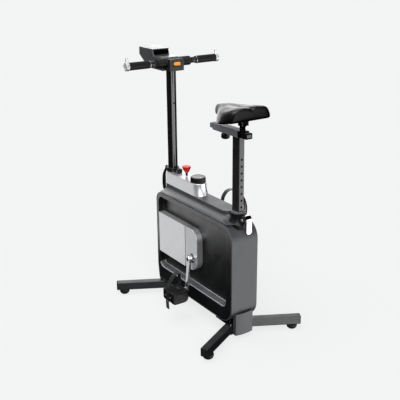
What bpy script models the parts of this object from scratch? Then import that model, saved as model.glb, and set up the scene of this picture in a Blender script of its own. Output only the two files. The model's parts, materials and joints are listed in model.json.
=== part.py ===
"""Folding upright exercise bike, in metres, +Z up.

The rider faces -Y and the rider's left is +X. The floor is z = 0. Sizes along
Y are measured from the crank's axle, midway between the feet; at the end the
whole bike moves so that the origin lies under the middle of its overall box.
The body is a tall, thin case round a welded frame; four legs swing out under
it, a round post carries the handlebar and a flat post the saddle slide.
"""
import math

import bmesh
import bpy
from mathutils import Matrix, Vector

OBJECT_NAME = "folding_exercise_bike"

# Clearances
GAP = 0.0003            # between pieces that rest on each other
RUN = 0.0005            # between pieces that turn or slide on each other

# Stance and legs
FOOT_SPAN_X = 0.471     # between foot centres, side to side
FOOT_SPAN_Y = 0.759     # between foot centres, front to rear
LEG_PIVOT_X = 0.045     # from the middle plane to a leg's hinge pin
LEG_PIVOT_Y = 0.277
LEG_HEIGHT = 0.040
LEG_WIDTH = 0.035
LEG_WALL = 0.003
LEG_PAST_FOOT = 0.034   # tube length beyond its foot
FOOT_RADIUS = 0.025
FOOT_HEIGHT = 0.0235
FOOT_CAP = 0.005        # thickness of the cap on the tube's end
FOOT_CAP_TAPER = 0.003
LEG_PIN_RADIUS = 0.004
BRACKET_PLATE = 0.010   # thickness over the legs
BRACKET_FLOOR = 0.004   # thickness under the legs
BRACKET_INNER_Y = 0.195
BRACKET_WALL_WIDTH = 0.094
BRACKET_WALL_RISE = 0.051   # rear wall's height above the body's bottom
BRACKET_WALL_BULGE = 0.006

# Body case
BODY_WIDTH = 0.142
BODY_HEIGHT = 0.469
BODY_FRONT_Y = -0.314
BODY_REAR_Y = 0.323
BODY_REAR_ROUND = 0.080
BODY_FRONT_ROUND = 0.045
BODY_TOE_IN = 0.010     # how far the front edge draws in at the bottom
BODY_TOE_RISE = 0.075
BAND_WALL = 0.005
BAND_EDGE = 0.002
PANEL_WALL = 0.003
RECESS_DEPTH = 0.032
RECESS_FRONT = 0.021    # recess margins from the body's outline
RECESS_REAR = 0.046
RECESS_TOP = 0.024
RECESS_BOTTOM = 0.072
RECESS_ROUND = 0.030

# Raised spine and silver control bar
SPINE_WIDTH = 0.078
SPINE_RISE = 0.0445
SPINE_SKIRT_RISE = 0.028
SPINE_FRONT_Y = -0.294
SPINE_REAR_Y = 0.236
SPINE_WALL = 0.003
SKIRT_LIP = 0.002
BAR_HEIGHT = 0.0567
BAR_TOP_WIDTH = 0.074
BAR_FOOT_WIDTH = 0.079
BAR_REAR_ROUND = 0.041
BAR_REAR_SLOPE = 0.014  # how far the foot stands out behind the top
BAR_WALL = 0.003

# Side covers of the drive
COVER_REAR_Y = 0.048
COVER_BOTTOM_RISE = 0.1545  # above the body's bottom
COVER_HEIGHT = 0.208
COVER_ROUND = 0.056
COVER_WALL = 0.003
COVER_STEP_Y = -0.054
COVER_STEP = 0.0015
COVER_HOLE_RADIUS = 0.0215

# Cranks and pedals
CRANK_RISE = 0.2154     # crank axis above the body's bottom
CRANK_LENGTH = 0.148
CRANK_THICKNESS = 0.010
CRANK_FLARE = 0.012     # how far the pedal end stands outward
CRANK_HUB_RADIUS = 0.0155
CRANK_EYE_RADIUS = 0.0125
CRANK_HUB_DEPTH = 0.018
AXLE_RADIUS = 0.0085
PEDAL_AXLE_RADIUS = 0.005
AXLE_COLLAR = 0.011     # pedal axle's collar, between crank and pedal
PEDAL_WIDTH = 0.090
PEDAL_LENGTH = 0.092
PEDAL_RISE = 0.013      # tread above the pedal's axle
PEDAL_DEPTH = 0.061     # tread down to the weighted underside
PEDAL_ROUND = 0.020
STRAP_WIDTH = 0.024
STRAP_THICKNESS = 0.0025
LEFT_STRAP_HEIGHT = 0.079   # above the tread
RIGHT_STRAP_HEIGHT = 0.137

# Drive inside the case
PULLEY_RADIUS = 0.105
PULLEY_X = 0.014
PULLEY_WIDTH = 0.014
BELT_WIDTH = 0.010
BELT_THICKNESS = 0.003
BELT_LIFT = 0.0008      # off the pulleys' own radius
FLYWHEEL_Y = -0.140
FLYWHEEL_RISE = 0.100   # above the crank axis
FLYWHEEL_RADIUS = 0.088
FLYWHEEL_WIDTH = 0.018
FLYWHEEL_X = -0.013
SMALL_PULLEY_RADIUS = 0.017
FLYWHEEL_AXLE_RADIUS = 0.006
MAGNET_GAP = 0.0025
MAGNET_THICKNESS = 0.009
MAGNET_FROM = 26.0      # degrees round the flywheel, from the rear
MAGNET_TO = 74.0
MAGNET_PIN_RADIUS = 0.004
CABLE_RADIUS = 0.001
CABLE_INSET = 4.0       # degrees from the magnet arm's end to its cable

# Frame inside the case
TUBE_WALL = 0.0025
PLATE_X = -0.021
PLATE_THICKNESS = 0.0045
PLATE_MARGIN = 0.014    # plate above the magnet arm's pin
BEAM_HEIGHT = 0.032
BEAM_WIDTH = 0.040
SHELL_RADIUS = 0.022
SHELL_WALL = 0.0042
BOSS_RADIUS = 0.011

# Handlebar
HANDLEBAR_POST_Y = -0.264
HANDLEBAR_POST_RADIUS = 0.0235
HANDLEBAR_POST_WALL = 0.002
HANDLEBAR_POST_TOP = 1.160
HANDLEBAR_POST_BOTTOM = 0.500
POST_HOLE_RADIUS = 0.004
POST_HOLE_Z = 0.982
COLLAR_WALL = 0.004
COLLAR_HEIGHT = 0.020
COLLAR_LUG = 0.034
COLLAR_EAR_HALF = 0.0055
COLLAR_EAR_REACH = 0.011    # the lever's axis, from the collar's wall
COLLAR_EYE_RADIUS = 0.005
HANDLEBAR_Y = -0.245
HANDLEBAR_RISE = 0.015      # above the post's top
YOKE_RADIUS = 0.020
YOKE_HALF = 0.0895
BLOCK_WIDTH = 0.076
BLOCK_HEIGHT = 0.054
BLOCK_RISE = 0.017          # above the handlebar's axis
BLOCK_REAR_Y = -0.210
BUTTON_WIDTH = 0.042
BUTTON_HEIGHT = 0.022
BUTTON_DEPTH = 0.009
BUTTON_PROUD = 0.005
FOLD_X = 0.110          # handle arm's fold pin
FOLD_PIN_RADIUS = 0.0045
KNUCKLE_RADIUS = 0.0125
TONGUE_THICKNESS = 0.012
CHEEK_THICKNESS = 0.0055
ARM_RADIUS = 0.0125
ARM_END_X = 0.250
GRIP_RADIUS = 0.0178
GRIP_START_X = 0.128
CAP_RADIUS = 0.0195
CAP_LENGTH = 0.0155
HORN_HEIGHT = 0.021

# Console
CONSOLE_WIDTH = 0.090
CONSOLE_FRONT_Y = -0.483
CONSOLE_DROP = 0.041        # its bottom, below the handlebar's axis
CONSOLE_DECK_RISE = 0.020   # above the handlebar's axis
CONSOLE_HOOD_RISE = 0.030   # above the deck
CONSOLE_FRONT_DEPTH = 0.037
CONSOLE_NOSE_REACH = 0.047
CONSOLE_NOSE_DROP = 0.068
CONSOLE_FLOOR_REACH = 0.112
CONSOLE_REAR_Y = -0.264
CONSOLE_DISPLAY_Y = -0.356
DISPLAY_LEAN = 0.007
DISPLAY_MARGIN = 0.003
HOOD_LIP = 0.006
CONSOLE_WALL = 0.0035
DISPLAY_THICKNESS = 0.004

# Seat post and saddle slide
SEAT_POST_Y = 0.268
SEAT_POST_WIDTH = 0.030
SEAT_POST_LENGTH = 0.050
SEAT_POST_ROUND = 0.005
SEAT_POST_WALL = 0.002
SEAT_POST_BOTTOM = 0.360
SEAT_HOLE_RADIUS = 0.004
SEAT_HOLE_PITCH = 0.0305
SEAT_HOLE_COUNT = 9
SLEEVE_RADIUS = 0.031
SLEEVE_TOP_RISE = 0.0554    # above the body's top
SLEEVE_FOOT_DROP = 0.024    # below the body's top
HEAD_BOTTOM_Z = 0.928
HEAD_FRONT_Y = 0.105
HEAD_REAR_Y = 0.286
HEAD_WALL = 0.003
RAIL_WIDTH = 0.030
RAIL_HEIGHT = 0.022
RAIL_FRONT_Y = 0.078
RAIL_REAR_Y = 0.342
KNOB_Y = 0.174
KNOB_RADIUS = 0.019
KNOB_HEIGHT = 0.024
PILLAR_LENGTH = 0.028
PILLAR_WALL = 0.006
PILLAR_LIP = 0.001      # below the rail, clear of the post
PILLAR_WIDTH = 0.024
TILT_RISE = 0.031       # tilt axis above the slide head
TILT_EYE_RADIUS = 0.011
TILT_PIN_RADIUS = 0.004
SADDLE_BASE_THICKNESS = 0.005
SADDLE_BASE_INSET = 0.036
SADDLE_FRONT_Y = 0.114
SADDLE_LENGTH = 0.250
SADDLE_WIDTH = 0.224
SADDLE_HEIGHT = 0.076
SADDLE_CHANNEL = 0.010
SADDLE_LEAN = 0.006     # rear rim behind the rear top
SADDLE_SKIRT = 0.009    # cushion's rim below its hard base

# Cam levers
HANDLEBAR_LEVER_LENGTH = 0.116
HANDLEBAR_LEVER_WIDTH = 0.024
SEAT_LEVER_LENGTH = 0.066
SEAT_LEVER_WIDTH = 0.030
SEAT_DRUM_RADIUS = 0.018
SEAT_DRUM_GAP = 0.0015  # behind the sleeve
SEAT_DRUM_RISE = 0.0065 # above the body's top
SEAT_BOSS_WIDTH = 0.010
SEAT_BOSS_X = 0.004
LEVER_PIN_RADIUS = 0.003

# Dial and stop knob
DIAL_Y = -0.043
DIAL_RADIUS = 0.036
DIAL_HEIGHT = 0.0255
SPINDLE_RADIUS = 0.004
DRUM_RADIUS = 0.012
DRUM_HEIGHT = 0.012
DRUM_DROP = 0.004       # drum below the spine's top wall
STOP_Y = -0.141
STOP_RADIUS = 0.021
STOP_HEIGHT = 0.045
STOP_TRAVEL = 0.005
ROD_RADIUS = 0.003
PAD_HEIGHT = 0.014
SPRING_RADIUS = 0.0065
SPRING_WIRE = 0.0008
SPRING_TURNS = 4
SPRING_FACETS = 7

# Places worked out from the sizes above
HALF = BODY_WIDTH / 2
LEG_BOTTOM = FOOT_HEIGHT + GAP
LEG_TOP = LEG_BOTTOM + LEG_HEIGHT
PLATE_BOTTOM = LEG_TOP + RUN
PLATE_TOP = PLATE_BOTTOM + BRACKET_PLATE
FLOOR_TOP = LEG_BOTTOM - RUN
FLOOR_BOTTOM = FLOOR_TOP - BRACKET_FLOOR
BODY_BOTTOM = PLATE_TOP + GAP
BODY_TOP = BODY_BOTTOM + BODY_HEIGHT
CRANK_Z = BODY_BOTTOM + CRANK_RISE
FLYWHEEL_Z = CRANK_Z + FLYWHEEL_RISE
SPINE_TOP = BODY_TOP + SPINE_RISE
BAR_BOTTOM = SPINE_TOP + GAP
BAR_TOP = BAR_BOTTOM + BAR_HEIGHT
RECESS_FLOOR_X = HALF - RECESS_DEPTH
HEAD_TUBE_RADIUS = HANDLEBAR_POST_RADIUS + RUN + TUBE_WALL
COLLAR_TOP = BAR_TOP + GAP + COLLAR_HEIGHT
HANDLEBAR_Z = HANDLEBAR_POST_TOP + HANDLEBAR_RISE
BLOCK_TOP_Z = HANDLEBAR_Z + BLOCK_RISE
CONSOLE_BOTTOM_Z = HANDLEBAR_Z - CONSOLE_DROP
CONSOLE_DECK_Z = HANDLEBAR_Z + CONSOLE_DECK_RISE
CONSOLE_TOP_Z = CONSOLE_DECK_Z + CONSOLE_HOOD_RISE
SLEEVE_BOTTOM = BODY_TOP - SLEEVE_FOOT_DROP
SLEEVE_TOP = BODY_TOP + SLEEVE_TOP_RISE
CRANK_INNER_X = HALF + 0.0035
PEDAL_INNER_X = CRANK_INNER_X + CRANK_HUB_DEPTH + CRANK_FLARE + AXLE_COLLAR
PEDAL_DOWN_Z = CRANK_Z - CRANK_LENGTH
PEDAL_UP_Z = CRANK_Z + CRANK_LENGTH
RAIL_BOTTOM = HEAD_BOTTOM_Z + HEAD_WALL + GAP
RAIL_TOP = RAIL_BOTTOM + RAIL_HEIGHT
HEAD_TOP = RAIL_TOP + GAP + HEAD_WALL
TILT_Y = HEAD_REAR_Y + RUN + PILLAR_LENGTH / 2
TILT_Z = HEAD_TOP + TILT_RISE
SADDLE_BASE_BOTTOM = TILT_Z + TILT_EYE_RADIUS + 0.0015
SADDLE_BOTTOM = SADDLE_BASE_BOTTOM - SADDLE_SKIRT
FULL_TURN = 2 * math.pi

PLANES = {
    "XY": Matrix.Identity(4),
    "YZ": Matrix(((0, 0, 1, 0), (1, 0, 0, 0), (0, 1, 0, 0), (0, 0, 0, 1))),
    "XZ": Matrix(((1, 0, 0, 0), (0, 0, -1, 0), (0, 1, 0, 0), (0, 0, 0, 1))),
}
TURNS = {
    "X": Matrix.Rotation(math.pi / 2, 4, "Y"),
    "Y": Matrix.Rotation(-math.pi / 2, 4, "X"),
    "Z": Matrix.Identity(4),
}


def clear_scene():
    """Remove whatever the new file holds."""
    for thing in list(bpy.data.objects):
        bpy.data.objects.remove(thing, do_unlink=True)


def new_collection(name):
    """Make a collection under the scene's own."""
    collection = bpy.data.collections.new(name)
    bpy.context.scene.collection.children.link(collection)
    return collection


clear_scene()
PARTS = new_collection(OBJECT_NAME)
TOOLS = new_collection("cutters")


def mesh_object(name, mesh):
    """Put a mesh into the object's collection."""
    thing = bpy.data.objects.new(name, mesh)
    PARTS.objects.link(thing)
    return thing


def from_bmesh(name, build):
    """Make an object from the bmesh that a small function fills."""
    bm = bmesh.new()
    build(bm)
    mesh = bpy.data.meshes.new(name)
    bm.to_mesh(mesh)
    bm.free()
    return mesh_object(name, mesh)


def box(name, x, y, z):
    """A box between pairs of limits along each axis."""
    middle = Vector((sum(x) / 2, sum(y) / 2, sum(z) / 2))
    size = (abs(x[1] - x[0]), abs(y[1] - y[0]), abs(z[1] - z[0]), 1.0)
    place = Matrix.Translation(middle) @ Matrix.Diagonal(size)
    return from_bmesh(name, lambda bm: bmesh.ops.create_cube(bm, size=1.0, matrix=place))


def rod(name, axis, centre, radius, start, end, sides=16):
    """A round bar along an axis, between two coordinates on that axis."""
    index = "XYZ".index(axis)
    middle = Vector(centre)
    middle[index] = (start + end) / 2
    place = Matrix.Translation(middle) @ TURNS[axis]

    def build(bm):
        bmesh.ops.create_cone(bm, cap_ends=True, segments=sides, radius1=radius,
                              radius2=radius, depth=abs(end - start), matrix=place)

    return from_bmesh(name, build)


def to_mesh(curve_object, flat_ends=False):
    """Turn a curve into a welded mesh in world coordinates, its flat ends made whole."""
    bpy.context.view_layer.update()
    graph = bpy.context.evaluated_depsgraph_get()
    mesh = bpy.data.meshes.new_from_object(curve_object.evaluated_get(graph))
    mesh.transform(curve_object.matrix_world)
    bm = bmesh.new()
    bm.from_mesh(mesh)
    bmesh.ops.remove_doubles(bm, verts=bm.verts, dist=0.00001)
    bmesh.ops.recalc_face_normals(bm, faces=bm.faces)
    if flat_ends:
        bmesh.ops.dissolve_limit(bm, angle_limit=math.radians(0.2), verts=bm.verts, edges=bm.edges)
    bm.to_mesh(mesh)
    bm.free()
    name = curve_object.name
    bpy.data.objects.remove(curve_object, do_unlink=True)
    return mesh_object(name, mesh)


def add_poly(curve, points, closed):
    """Add one straight-sided spline to a curve."""
    spline = curve.splines.new("POLY")
    spline.points.add(len(points) - 1)
    for target, point in zip(spline.points, points):
        target.co = (*point, 1.0) if len(point) == 3 else (*point, 0.0, 1.0)
    spline.use_cyclic_u = closed


def prism(name, loops, plane, start, end):
    """A flat outline, with any holes, between two coordinates across its plane."""
    curve = bpy.data.curves.new(name, "CURVE")
    curve.dimensions = "2D"
    curve.fill_mode = "BOTH"
    curve.extrude = abs(end - start) / 2
    for loop in loops:
        add_poly(curve, loop, True)
    middle = (start + end) / 2
    if plane == "XZ":
        middle = -middle
    thing = bpy.data.objects.new(name, curve)
    PARTS.objects.link(thing)
    thing.matrix_world = PLANES[plane] @ Matrix.Translation((0, 0, middle))
    return to_mesh(thing, True)


def wire(name, points, radius, resolution=1):
    """A round wire through points, with flat ends."""
    curve = bpy.data.curves.new(name, "CURVE")
    curve.dimensions = "3D"
    curve.bevel_depth = radius
    curve.bevel_resolution = resolution
    curve.use_fill_caps = True
    add_poly(curve, points, False)
    thing = bpy.data.objects.new(name, curve)
    PARTS.objects.link(thing)
    return to_mesh(thing)


def turned(name, profile, axis, centre, steps=20, ring=False):
    """A turned shape: (radius, height) points down the outer side."""
    count = len(profile)
    edges = [(i, i + 1) for i in range(count - 1)]
    if ring:
        edges.append((count - 1, 0))
    mesh = bpy.data.meshes.new(name)
    mesh.from_pydata([(r, 0.0, h) for r, h in profile], edges, [])
    thing = mesh_object(name, mesh)
    thing.matrix_world = Matrix.Translation(centre) @ TURNS[axis]
    screw = thing.modifiers.new("turn", "SCREW")
    screw.steps = steps
    screw.render_steps = steps
    screw.use_merge_vertices = True
    screw.merge_threshold = 0.00001
    return thing


def loft(name, rings):
    """A closed skin over rings that all have the same number of points, lowest first."""
    count = len(rings[0])
    points = [point for ring in rings for point in ring]
    faces = [tuple(range(count))[::-1]]
    for level in range(len(rings) - 1):
        low = level * count
        high = low + count
        for i in range(count):
            j = (i + 1) % count
            faces.append((low + i, low + j, high + j, high + i))
    faces.append(tuple(range((len(rings) - 1) * count, len(rings) * count)))
    mesh = bpy.data.meshes.new(name)
    mesh.from_pydata(points, [], faces)
    return mesh_object(name, mesh)


def use_tool(target, tool, operation):
    """Cut a target with a tool, or join the tool to it."""
    if tool.name in PARTS.objects:
        PARTS.objects.unlink(tool)
        TOOLS.objects.link(tool)
    tool.hide_render = True
    tool.display_type = "WIRE"
    step = target.modifiers.new(tool.name, "BOOLEAN")
    step.operation = operation
    step.object = tool
    return target


def cut(target, *tools):
    """Take tools out of a target."""
    for tool in tools:
        use_tool(target, tool, "DIFFERENCE")
    return target


def join(target, *tools):
    """Weld tools to a target."""
    for tool in tools:
        use_tool(target, tool, "UNION")
    return target


def bevel(thing, width, segments=1):
    """Round the sharp edges."""
    step = thing.modifiers.new("edges", "BEVEL")
    step.width = width
    step.segments = segments
    step.limit_method = "ANGLE"
    step.angle_limit = math.radians(40)
    step.use_clamp_overlap = True
    return thing


def pivot_at(thing, point):
    """Move an object's origin to its joint axis without moving the object."""
    shift = Vector(point)
    thing.data.transform(Matrix.Translation(-shift))
    thing.location = shift
    return thing


def finish(thing, colour, roughness, metallic):
    """Give a sub-part its own surface."""
    material = bpy.data.materials.new(thing.name)
    material.use_nodes = True
    shader = material.node_tree.nodes["Principled BSDF"]
    shader.inputs["Base Color"].default_value = (*colour, 1.0)
    shader.inputs["Roughness"].default_value = roughness
    shader.inputs["Metallic"].default_value = metallic
    thing.data.materials.clear()
    thing.data.materials.append(material)
    return thing


GRAPHITE = (0.075, 0.077, 0.082)
BLACK = (0.018, 0.018, 0.019)
SILVER = (0.62, 0.63, 0.64)
STEEL = (0.45, 0.45, 0.46)
RED = (0.60, 0.02, 0.02)
ORANGE = (0.95, 0.33, 0.03)


def rounded(corners, steps=5):
    """An outline from (u, v, radius) corners, each round one drawn as an arc."""
    points = []
    count = len(corners)
    for index, (u, v, radius) in enumerate(corners):
        here = Vector((u, v))
        if radius <= 0.0:
            points.append((u, v))
            continue
        before = (Vector(corners[index - 1][:2]) - here).normalized()
        after = (Vector(corners[(index + 1) % count][:2]) - here).normalized()
        half = before.angle(after) / 2
        centre = here + (before + after).normalized() * (radius / math.sin(half))
        start = here + before * (radius / math.tan(half)) - centre
        end = here + after * (radius / math.tan(half)) - centre
        first = math.atan2(start.y, start.x)
        sweep = math.atan2(end.y, end.x) - first
        sweep = (sweep + math.pi) % FULL_TURN - math.pi
        for k in range(steps + 1):
            angle = first + sweep * k / steps
            points.append((centre.x + radius * math.cos(angle), centre.y + radius * math.sin(angle)))
    return points


def rounded_box(u, v, radius, steps=5):
    """The outline of a rectangle with round corners."""
    return rounded([(u[0], v[0], radius), (u[1], v[0], radius),
                    (u[1], v[1], radius), (u[0], v[1], radius)], steps)


def body_outline(inset, steps=6):
    """The case seen from the side, drawn in by an inset."""
    low = BODY_BOTTOM + inset
    high = BODY_TOP - inset
    front = BODY_FRONT_Y + inset
    rear = BODY_REAR_Y - inset
    return rounded([
        (front + BODY_TOE_IN, low, 0.008),
        (rear, low, BODY_REAR_ROUND - inset),
        (rear, high, BODY_REAR_ROUND - inset),
        (front, high, BODY_FRONT_ROUND - inset),
        (front, BODY_BOTTOM + BODY_TOE_RISE, 0.0)], steps)


def recess_outline(grow):
    """The recess in each side, drawn out by a margin."""
    return rounded_box(
        (BODY_FRONT_Y + RECESS_FRONT - grow, BODY_REAR_Y - RECESS_REAR + grow),
        (BODY_BOTTOM + RECESS_BOTTOM - grow, BODY_TOP - RECESS_TOP + grow),
        RECESS_ROUND + grow, 4)


def cover_outline(inset):
    """The silver side cover, drawn in by an inset."""
    front = BODY_FRONT_Y + RECESS_FRONT + RUN + inset
    rear = COVER_REAR_Y - inset
    low = BODY_BOTTOM + COVER_BOTTOM_RISE + inset
    high = BODY_BOTTOM + COVER_BOTTOM_RISE + COVER_HEIGHT - inset
    return rounded([(front, low, 0.002), (rear, low, COVER_ROUND - inset),
                    (rear, high, COVER_ROUND - inset), (front, high, 0.002)], 6)


def capsule_ring(half_width, front_y, front_round, rear_y, rear_round, z, steps=7):
    """A level ring with straight sides and elliptical ends."""
    ring = []
    for k in range(steps + 1):
        angle = math.pi * k / steps
        ring.append((half_width * math.cos(angle), rear_y - rear_round + rear_round * math.sin(angle), z))
    for k in range(steps + 1):
        angle = math.pi * k / steps
        ring.append((-half_width * math.cos(angle), front_y + front_round - front_round * math.sin(angle), z))
    return ring


def body_band():
    """The case's perimeter: front, rear, top and bottom walls in one."""
    band = prism("body_band", [body_outline(0), body_outline(BAND_WALL)], "YZ", -HALF, HALF)
    bevel(band, BAND_EDGE)
    reach = SLEEVE_RADIUS + 0.002
    window = box("band_window", (-reach, reach),
                 (HANDLEBAR_POST_Y - reach, SEAT_POST_Y + reach), (BODY_TOP - 0.05, BODY_TOP + 0.01))
    return finish(cut(band, window), GRAPHITE, 0.45, 0.3)


def side_panel(name, side):
    """A side casing: a flush rim, a deep recess, and a hollow behind the rim."""
    rim = BAND_WALL + GAP
    inner = side * (RECESS_FLOOR_X - PANEL_WALL)
    outer = side * (HALF - GAP)
    panel = prism(name, [body_outline(rim)], "YZ", inner, outer)
    recess = prism(name + "_recess", [recess_outline(0)], "YZ", side * RECESS_FLOOR_X, side * (HALF + 0.01))
    hollow = prism(name + "_hollow", [body_outline(rim + PANEL_WALL)],
                   "YZ", side * (RECESS_FLOOR_X - 0.01), side * (HALF - GAP - PANEL_WALL))
    cut(hollow, prism(name + "_dish", [recess_outline(PANEL_WALL)], "YZ",
                      side * (RECESS_FLOOR_X - 0.02), side * (HALF + 0.01)))
    hole = rod(name + "_hole", "X", (0, 0, CRANK_Z), SHELL_RADIUS, side * 0.02, side * (HALF + 0.01))
    return finish(cut(panel, recess, hollow, hole), GRAPHITE, 0.4, 0.2)


def belt_cover(name, side):
    """A silver drive cover standing on the recess floor."""
    base = side * (RECESS_FLOOR_X + GAP)
    outer = side * (HALF - GAP)
    cover = prism(name, [cover_outline(0)], "YZ", base, outer)
    hollow = prism(name + "_hollow", [cover_outline(COVER_WALL)], "YZ",
                   side * (RECESS_FLOOR_X - 0.01), side * (HALF - GAP - COVER_WALL))
    hole = rod(name + "_hole", "X", (0, 0, CRANK_Z), COVER_HOLE_RADIUS, side * 0.02, side * (HALF + 0.01))
    step = box(name + "_step", (side * (HALF - GAP - COVER_STEP), side * (HALF + 0.01)),
               (COVER_STEP_Y, COVER_REAR_Y + 0.01), (BODY_BOTTOM, BODY_TOP))
    return finish(cut(cover, hollow, hole, step), SILVER, 0.35, 0.6)


def spine_cover():
    """The raised top cover with a hollow-curved skirt down to the case."""
    half = SPINE_WIDTH / 2
    lip = BODY_TOP + SKIRT_LIP
    skirt_front = BODY_FRONT_Y + 0.016
    skirt_rear = SEAT_POST_Y + SLEEVE_RADIUS + 0.001
    rings = []
    for z in (BODY_TOP - 0.035, lip):
        rings.append(capsule_ring(HALF - GAP, skirt_front, 0.030, skirt_rear, 0.030, z))
    steps = 5
    for k in range(1, steps + 1):
        turn = math.pi / 2 * k / steps
        spread = 1 - math.sin(turn)
        rings.append(capsule_ring(
            half + (HALF - GAP - half) * spread,
            SPINE_FRONT_Y + (skirt_front - SPINE_FRONT_Y) * spread,
            half + (0.030 - half) * spread,
            SPINE_REAR_Y + (skirt_rear - SPINE_REAR_Y) * spread, 0.030,
            lip + SPINE_SKIRT_RISE * (1 - math.cos(turn))))
    rings.append(capsule_ring(half, SPINE_FRONT_Y, half, SPINE_REAR_Y, 0.030, SPINE_TOP - 0.003))
    rings.append(capsule_ring(half - 0.003, SPINE_FRONT_Y + 0.003, half - 0.003,
                              SPINE_REAR_Y - 0.003, 0.027, SPINE_TOP))
    cover = loft("spine_cover", rings)
    inner = half - SPINE_WALL
    hollow = loft("spine_hollow", [
        capsule_ring(inner, SPINE_FRONT_Y + SPINE_WALL, inner, SPINE_REAR_Y - SPINE_WALL, 0.027, z)
        for z in (BODY_TOP - 0.06, SPINE_TOP - SPINE_WALL)])
    case = prism("spine_case", [body_outline(-GAP)], "YZ", -HALF - 0.01, HALF + 0.01)
    holes = [
        rod("spine_head_hole", "Z", (0, HANDLEBAR_POST_Y, 0), HEAD_TUBE_RADIUS + GAP, 0.4, BAR_TOP, 24),
        rod("spine_sleeve_hole", "Z", (0, SEAT_POST_Y, 0), SLEEVE_RADIUS + GAP, 0.4, BAR_TOP, 28),
        rod("spine_dial_hole", "Z", (0, DIAL_Y, 0), SPINDLE_RADIUS + RUN, 0.5, BAR_TOP, 12),
        rod("spine_rod_hole", "Z", (0, STOP_Y, 0), ROD_RADIUS + RUN, 0.5, BAR_TOP, 16)]
    return finish(cut(cover, case, hollow, *holes), GRAPHITE, 0.4, 0.2)


def control_bar():
    """The silver bar on the spine's front half, with a round, flared rear end."""
    rear = DIAL_Y + BAR_REAR_ROUND
    foot = BAR_FOOT_WIDTH / 2
    top = BAR_TOP_WIDTH / 2
    bar = loft("control_bar", [
        capsule_ring(foot, SPINE_FRONT_Y, foot, rear + BAR_REAR_SLOPE, BAR_REAR_ROUND + 0.006, BAR_BOTTOM, 11),
        capsule_ring(top, SPINE_FRONT_Y + 0.002, top, rear, BAR_REAR_ROUND, BAR_TOP - 0.002, 11),
        capsule_ring(top - 0.002, SPINE_FRONT_Y + 0.004, top - 0.002, rear - 0.002,
                     BAR_REAR_ROUND - 0.002, BAR_TOP, 11)])
    inner = top - BAR_WALL
    hollow = loft("bar_hollow", [
        capsule_ring(inner, SPINE_FRONT_Y + 0.002 + BAR_WALL, inner, rear - BAR_WALL,
                     BAR_REAR_ROUND - BAR_WALL, z, 7)
        for z in (BAR_BOTTOM - 0.01, BAR_TOP - BAR_WALL)])
    holes = [
        rod("bar_head_hole", "Z", (0, HANDLEBAR_POST_Y, 0), HEAD_TUBE_RADIUS + GAP, 0.5, BAR_TOP + 0.01, 24),
        rod("bar_dial_hole", "Z", (0, DIAL_Y, 0), SPINDLE_RADIUS + RUN, 0.5, BAR_TOP + 0.01, 16),
        rod("bar_rod_hole", "Z", (0, STOP_Y, 0), ROD_RADIUS + RUN, 0.5, BAR_TOP + 0.01, 16)]
    return finish(cut(bar, hollow, *holes), SILVER, 0.3, 0.8)


def case_floor_z(y):
    """Height of the band's inner face over its round rear-bottom corner."""
    inner = BODY_REAR_ROUND - BAND_WALL
    across = max(y - (BODY_REAR_Y - BODY_REAR_ROUND), 0.0)
    return BODY_BOTTOM + BODY_REAR_ROUND - math.sqrt(inner ** 2 - across ** 2)


def main_frame():
    """The welded frame: two tubes, a beam, a drive plate, the crank shell and two bosses."""
    low = BODY_BOTTOM + BAND_WALL + GAP
    seat_half_x = SEAT_POST_WIDTH / 2 + RUN
    seat_half_y = SEAT_POST_LENGTH / 2 + RUN
    frame = box("main_frame", (-BEAM_WIDTH / 2, BEAM_WIDTH / 2),
                (HANDLEBAR_POST_Y, BODY_REAR_Y - BODY_REAR_ROUND), (low, low + BEAM_HEIGHT))
    head = rod("frame_head", "Z", (0, HANDLEBAR_POST_Y, 0), HEAD_TUBE_RADIUS, low, COLLAR_TOP - 0.001, 24)
    seat_rear = SEAT_POST_Y + seat_half_y + TUBE_WALL
    seat = box("frame_seat", (-seat_half_x - TUBE_WALL, seat_half_x + TUBE_WALL),
               (SEAT_POST_Y - seat_half_y - TUBE_WALL, seat_rear),
               (case_floor_z(seat_rear) + 0.002, SLEEVE_BOTTOM - GAP))
    pin = magnet_point(MAGNET_FROM, magnet_radius())
    plate = box("frame_plate", (PLATE_X, PLATE_X + PLATE_THICKNESS),
                (HANDLEBAR_POST_Y, SEAT_POST_Y - seat_half_y), (low + 0.01, pin[1] + PLATE_MARGIN))
    shell_end = PULLEY_X - 0.004
    shell = rod("frame_shell", "X", (0, 0, CRANK_Z), SHELL_RADIUS, PLATE_X - 0.009, shell_end)
    boss = rod("frame_boss", "X", (0, FLYWHEEL_Y, FLYWHEEL_Z), BOSS_RADIUS, PLATE_X - 0.009, FLYWHEEL_X - 0.0015)
    post = rod("frame_magnet_pin", "X", (0, *pin), MAGNET_PIN_RADIUS, PLATE_X + 0.001,
               FLYWHEEL_X + FLYWHEEL_WIDTH, 16)
    frame = join(frame, head, seat, plate, shell, boss, post)
    bores = [
        rod("frame_head_bore", "Z", (0, HANDLEBAR_POST_Y, 0), HANDLEBAR_POST_RADIUS + RUN,
            low + BEAM_HEIGHT, COLLAR_TOP + 0.01, 24),
        prism("frame_seat_bore", [seat_outline(RUN)], "XY", low + BEAM_HEIGHT, SLEEVE_TOP),
        rod("frame_shell_bore", "X", (0, 0, CRANK_Z), SHELL_RADIUS - SHELL_WALL, -0.06, 0.06, 24),
        rod("frame_boss_bore", "X", (0, FLYWHEEL_Y, FLYWHEEL_Z), FLYWHEEL_AXLE_RADIUS + GAP, -0.06, 0.0, 16)]
    return finish(cut(frame, *bores), BLACK, 0.5, 0.6)


def seat_outline(grow):
    """The flat seat post's section."""
    half_x = SEAT_POST_WIDTH / 2 + grow
    half_y = SEAT_POST_LENGTH / 2 + grow
    return rounded_box((-half_x, half_x), (SEAT_POST_Y - half_y, SEAT_POST_Y + half_y),
                       SEAT_POST_ROUND + grow, 3)


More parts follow.
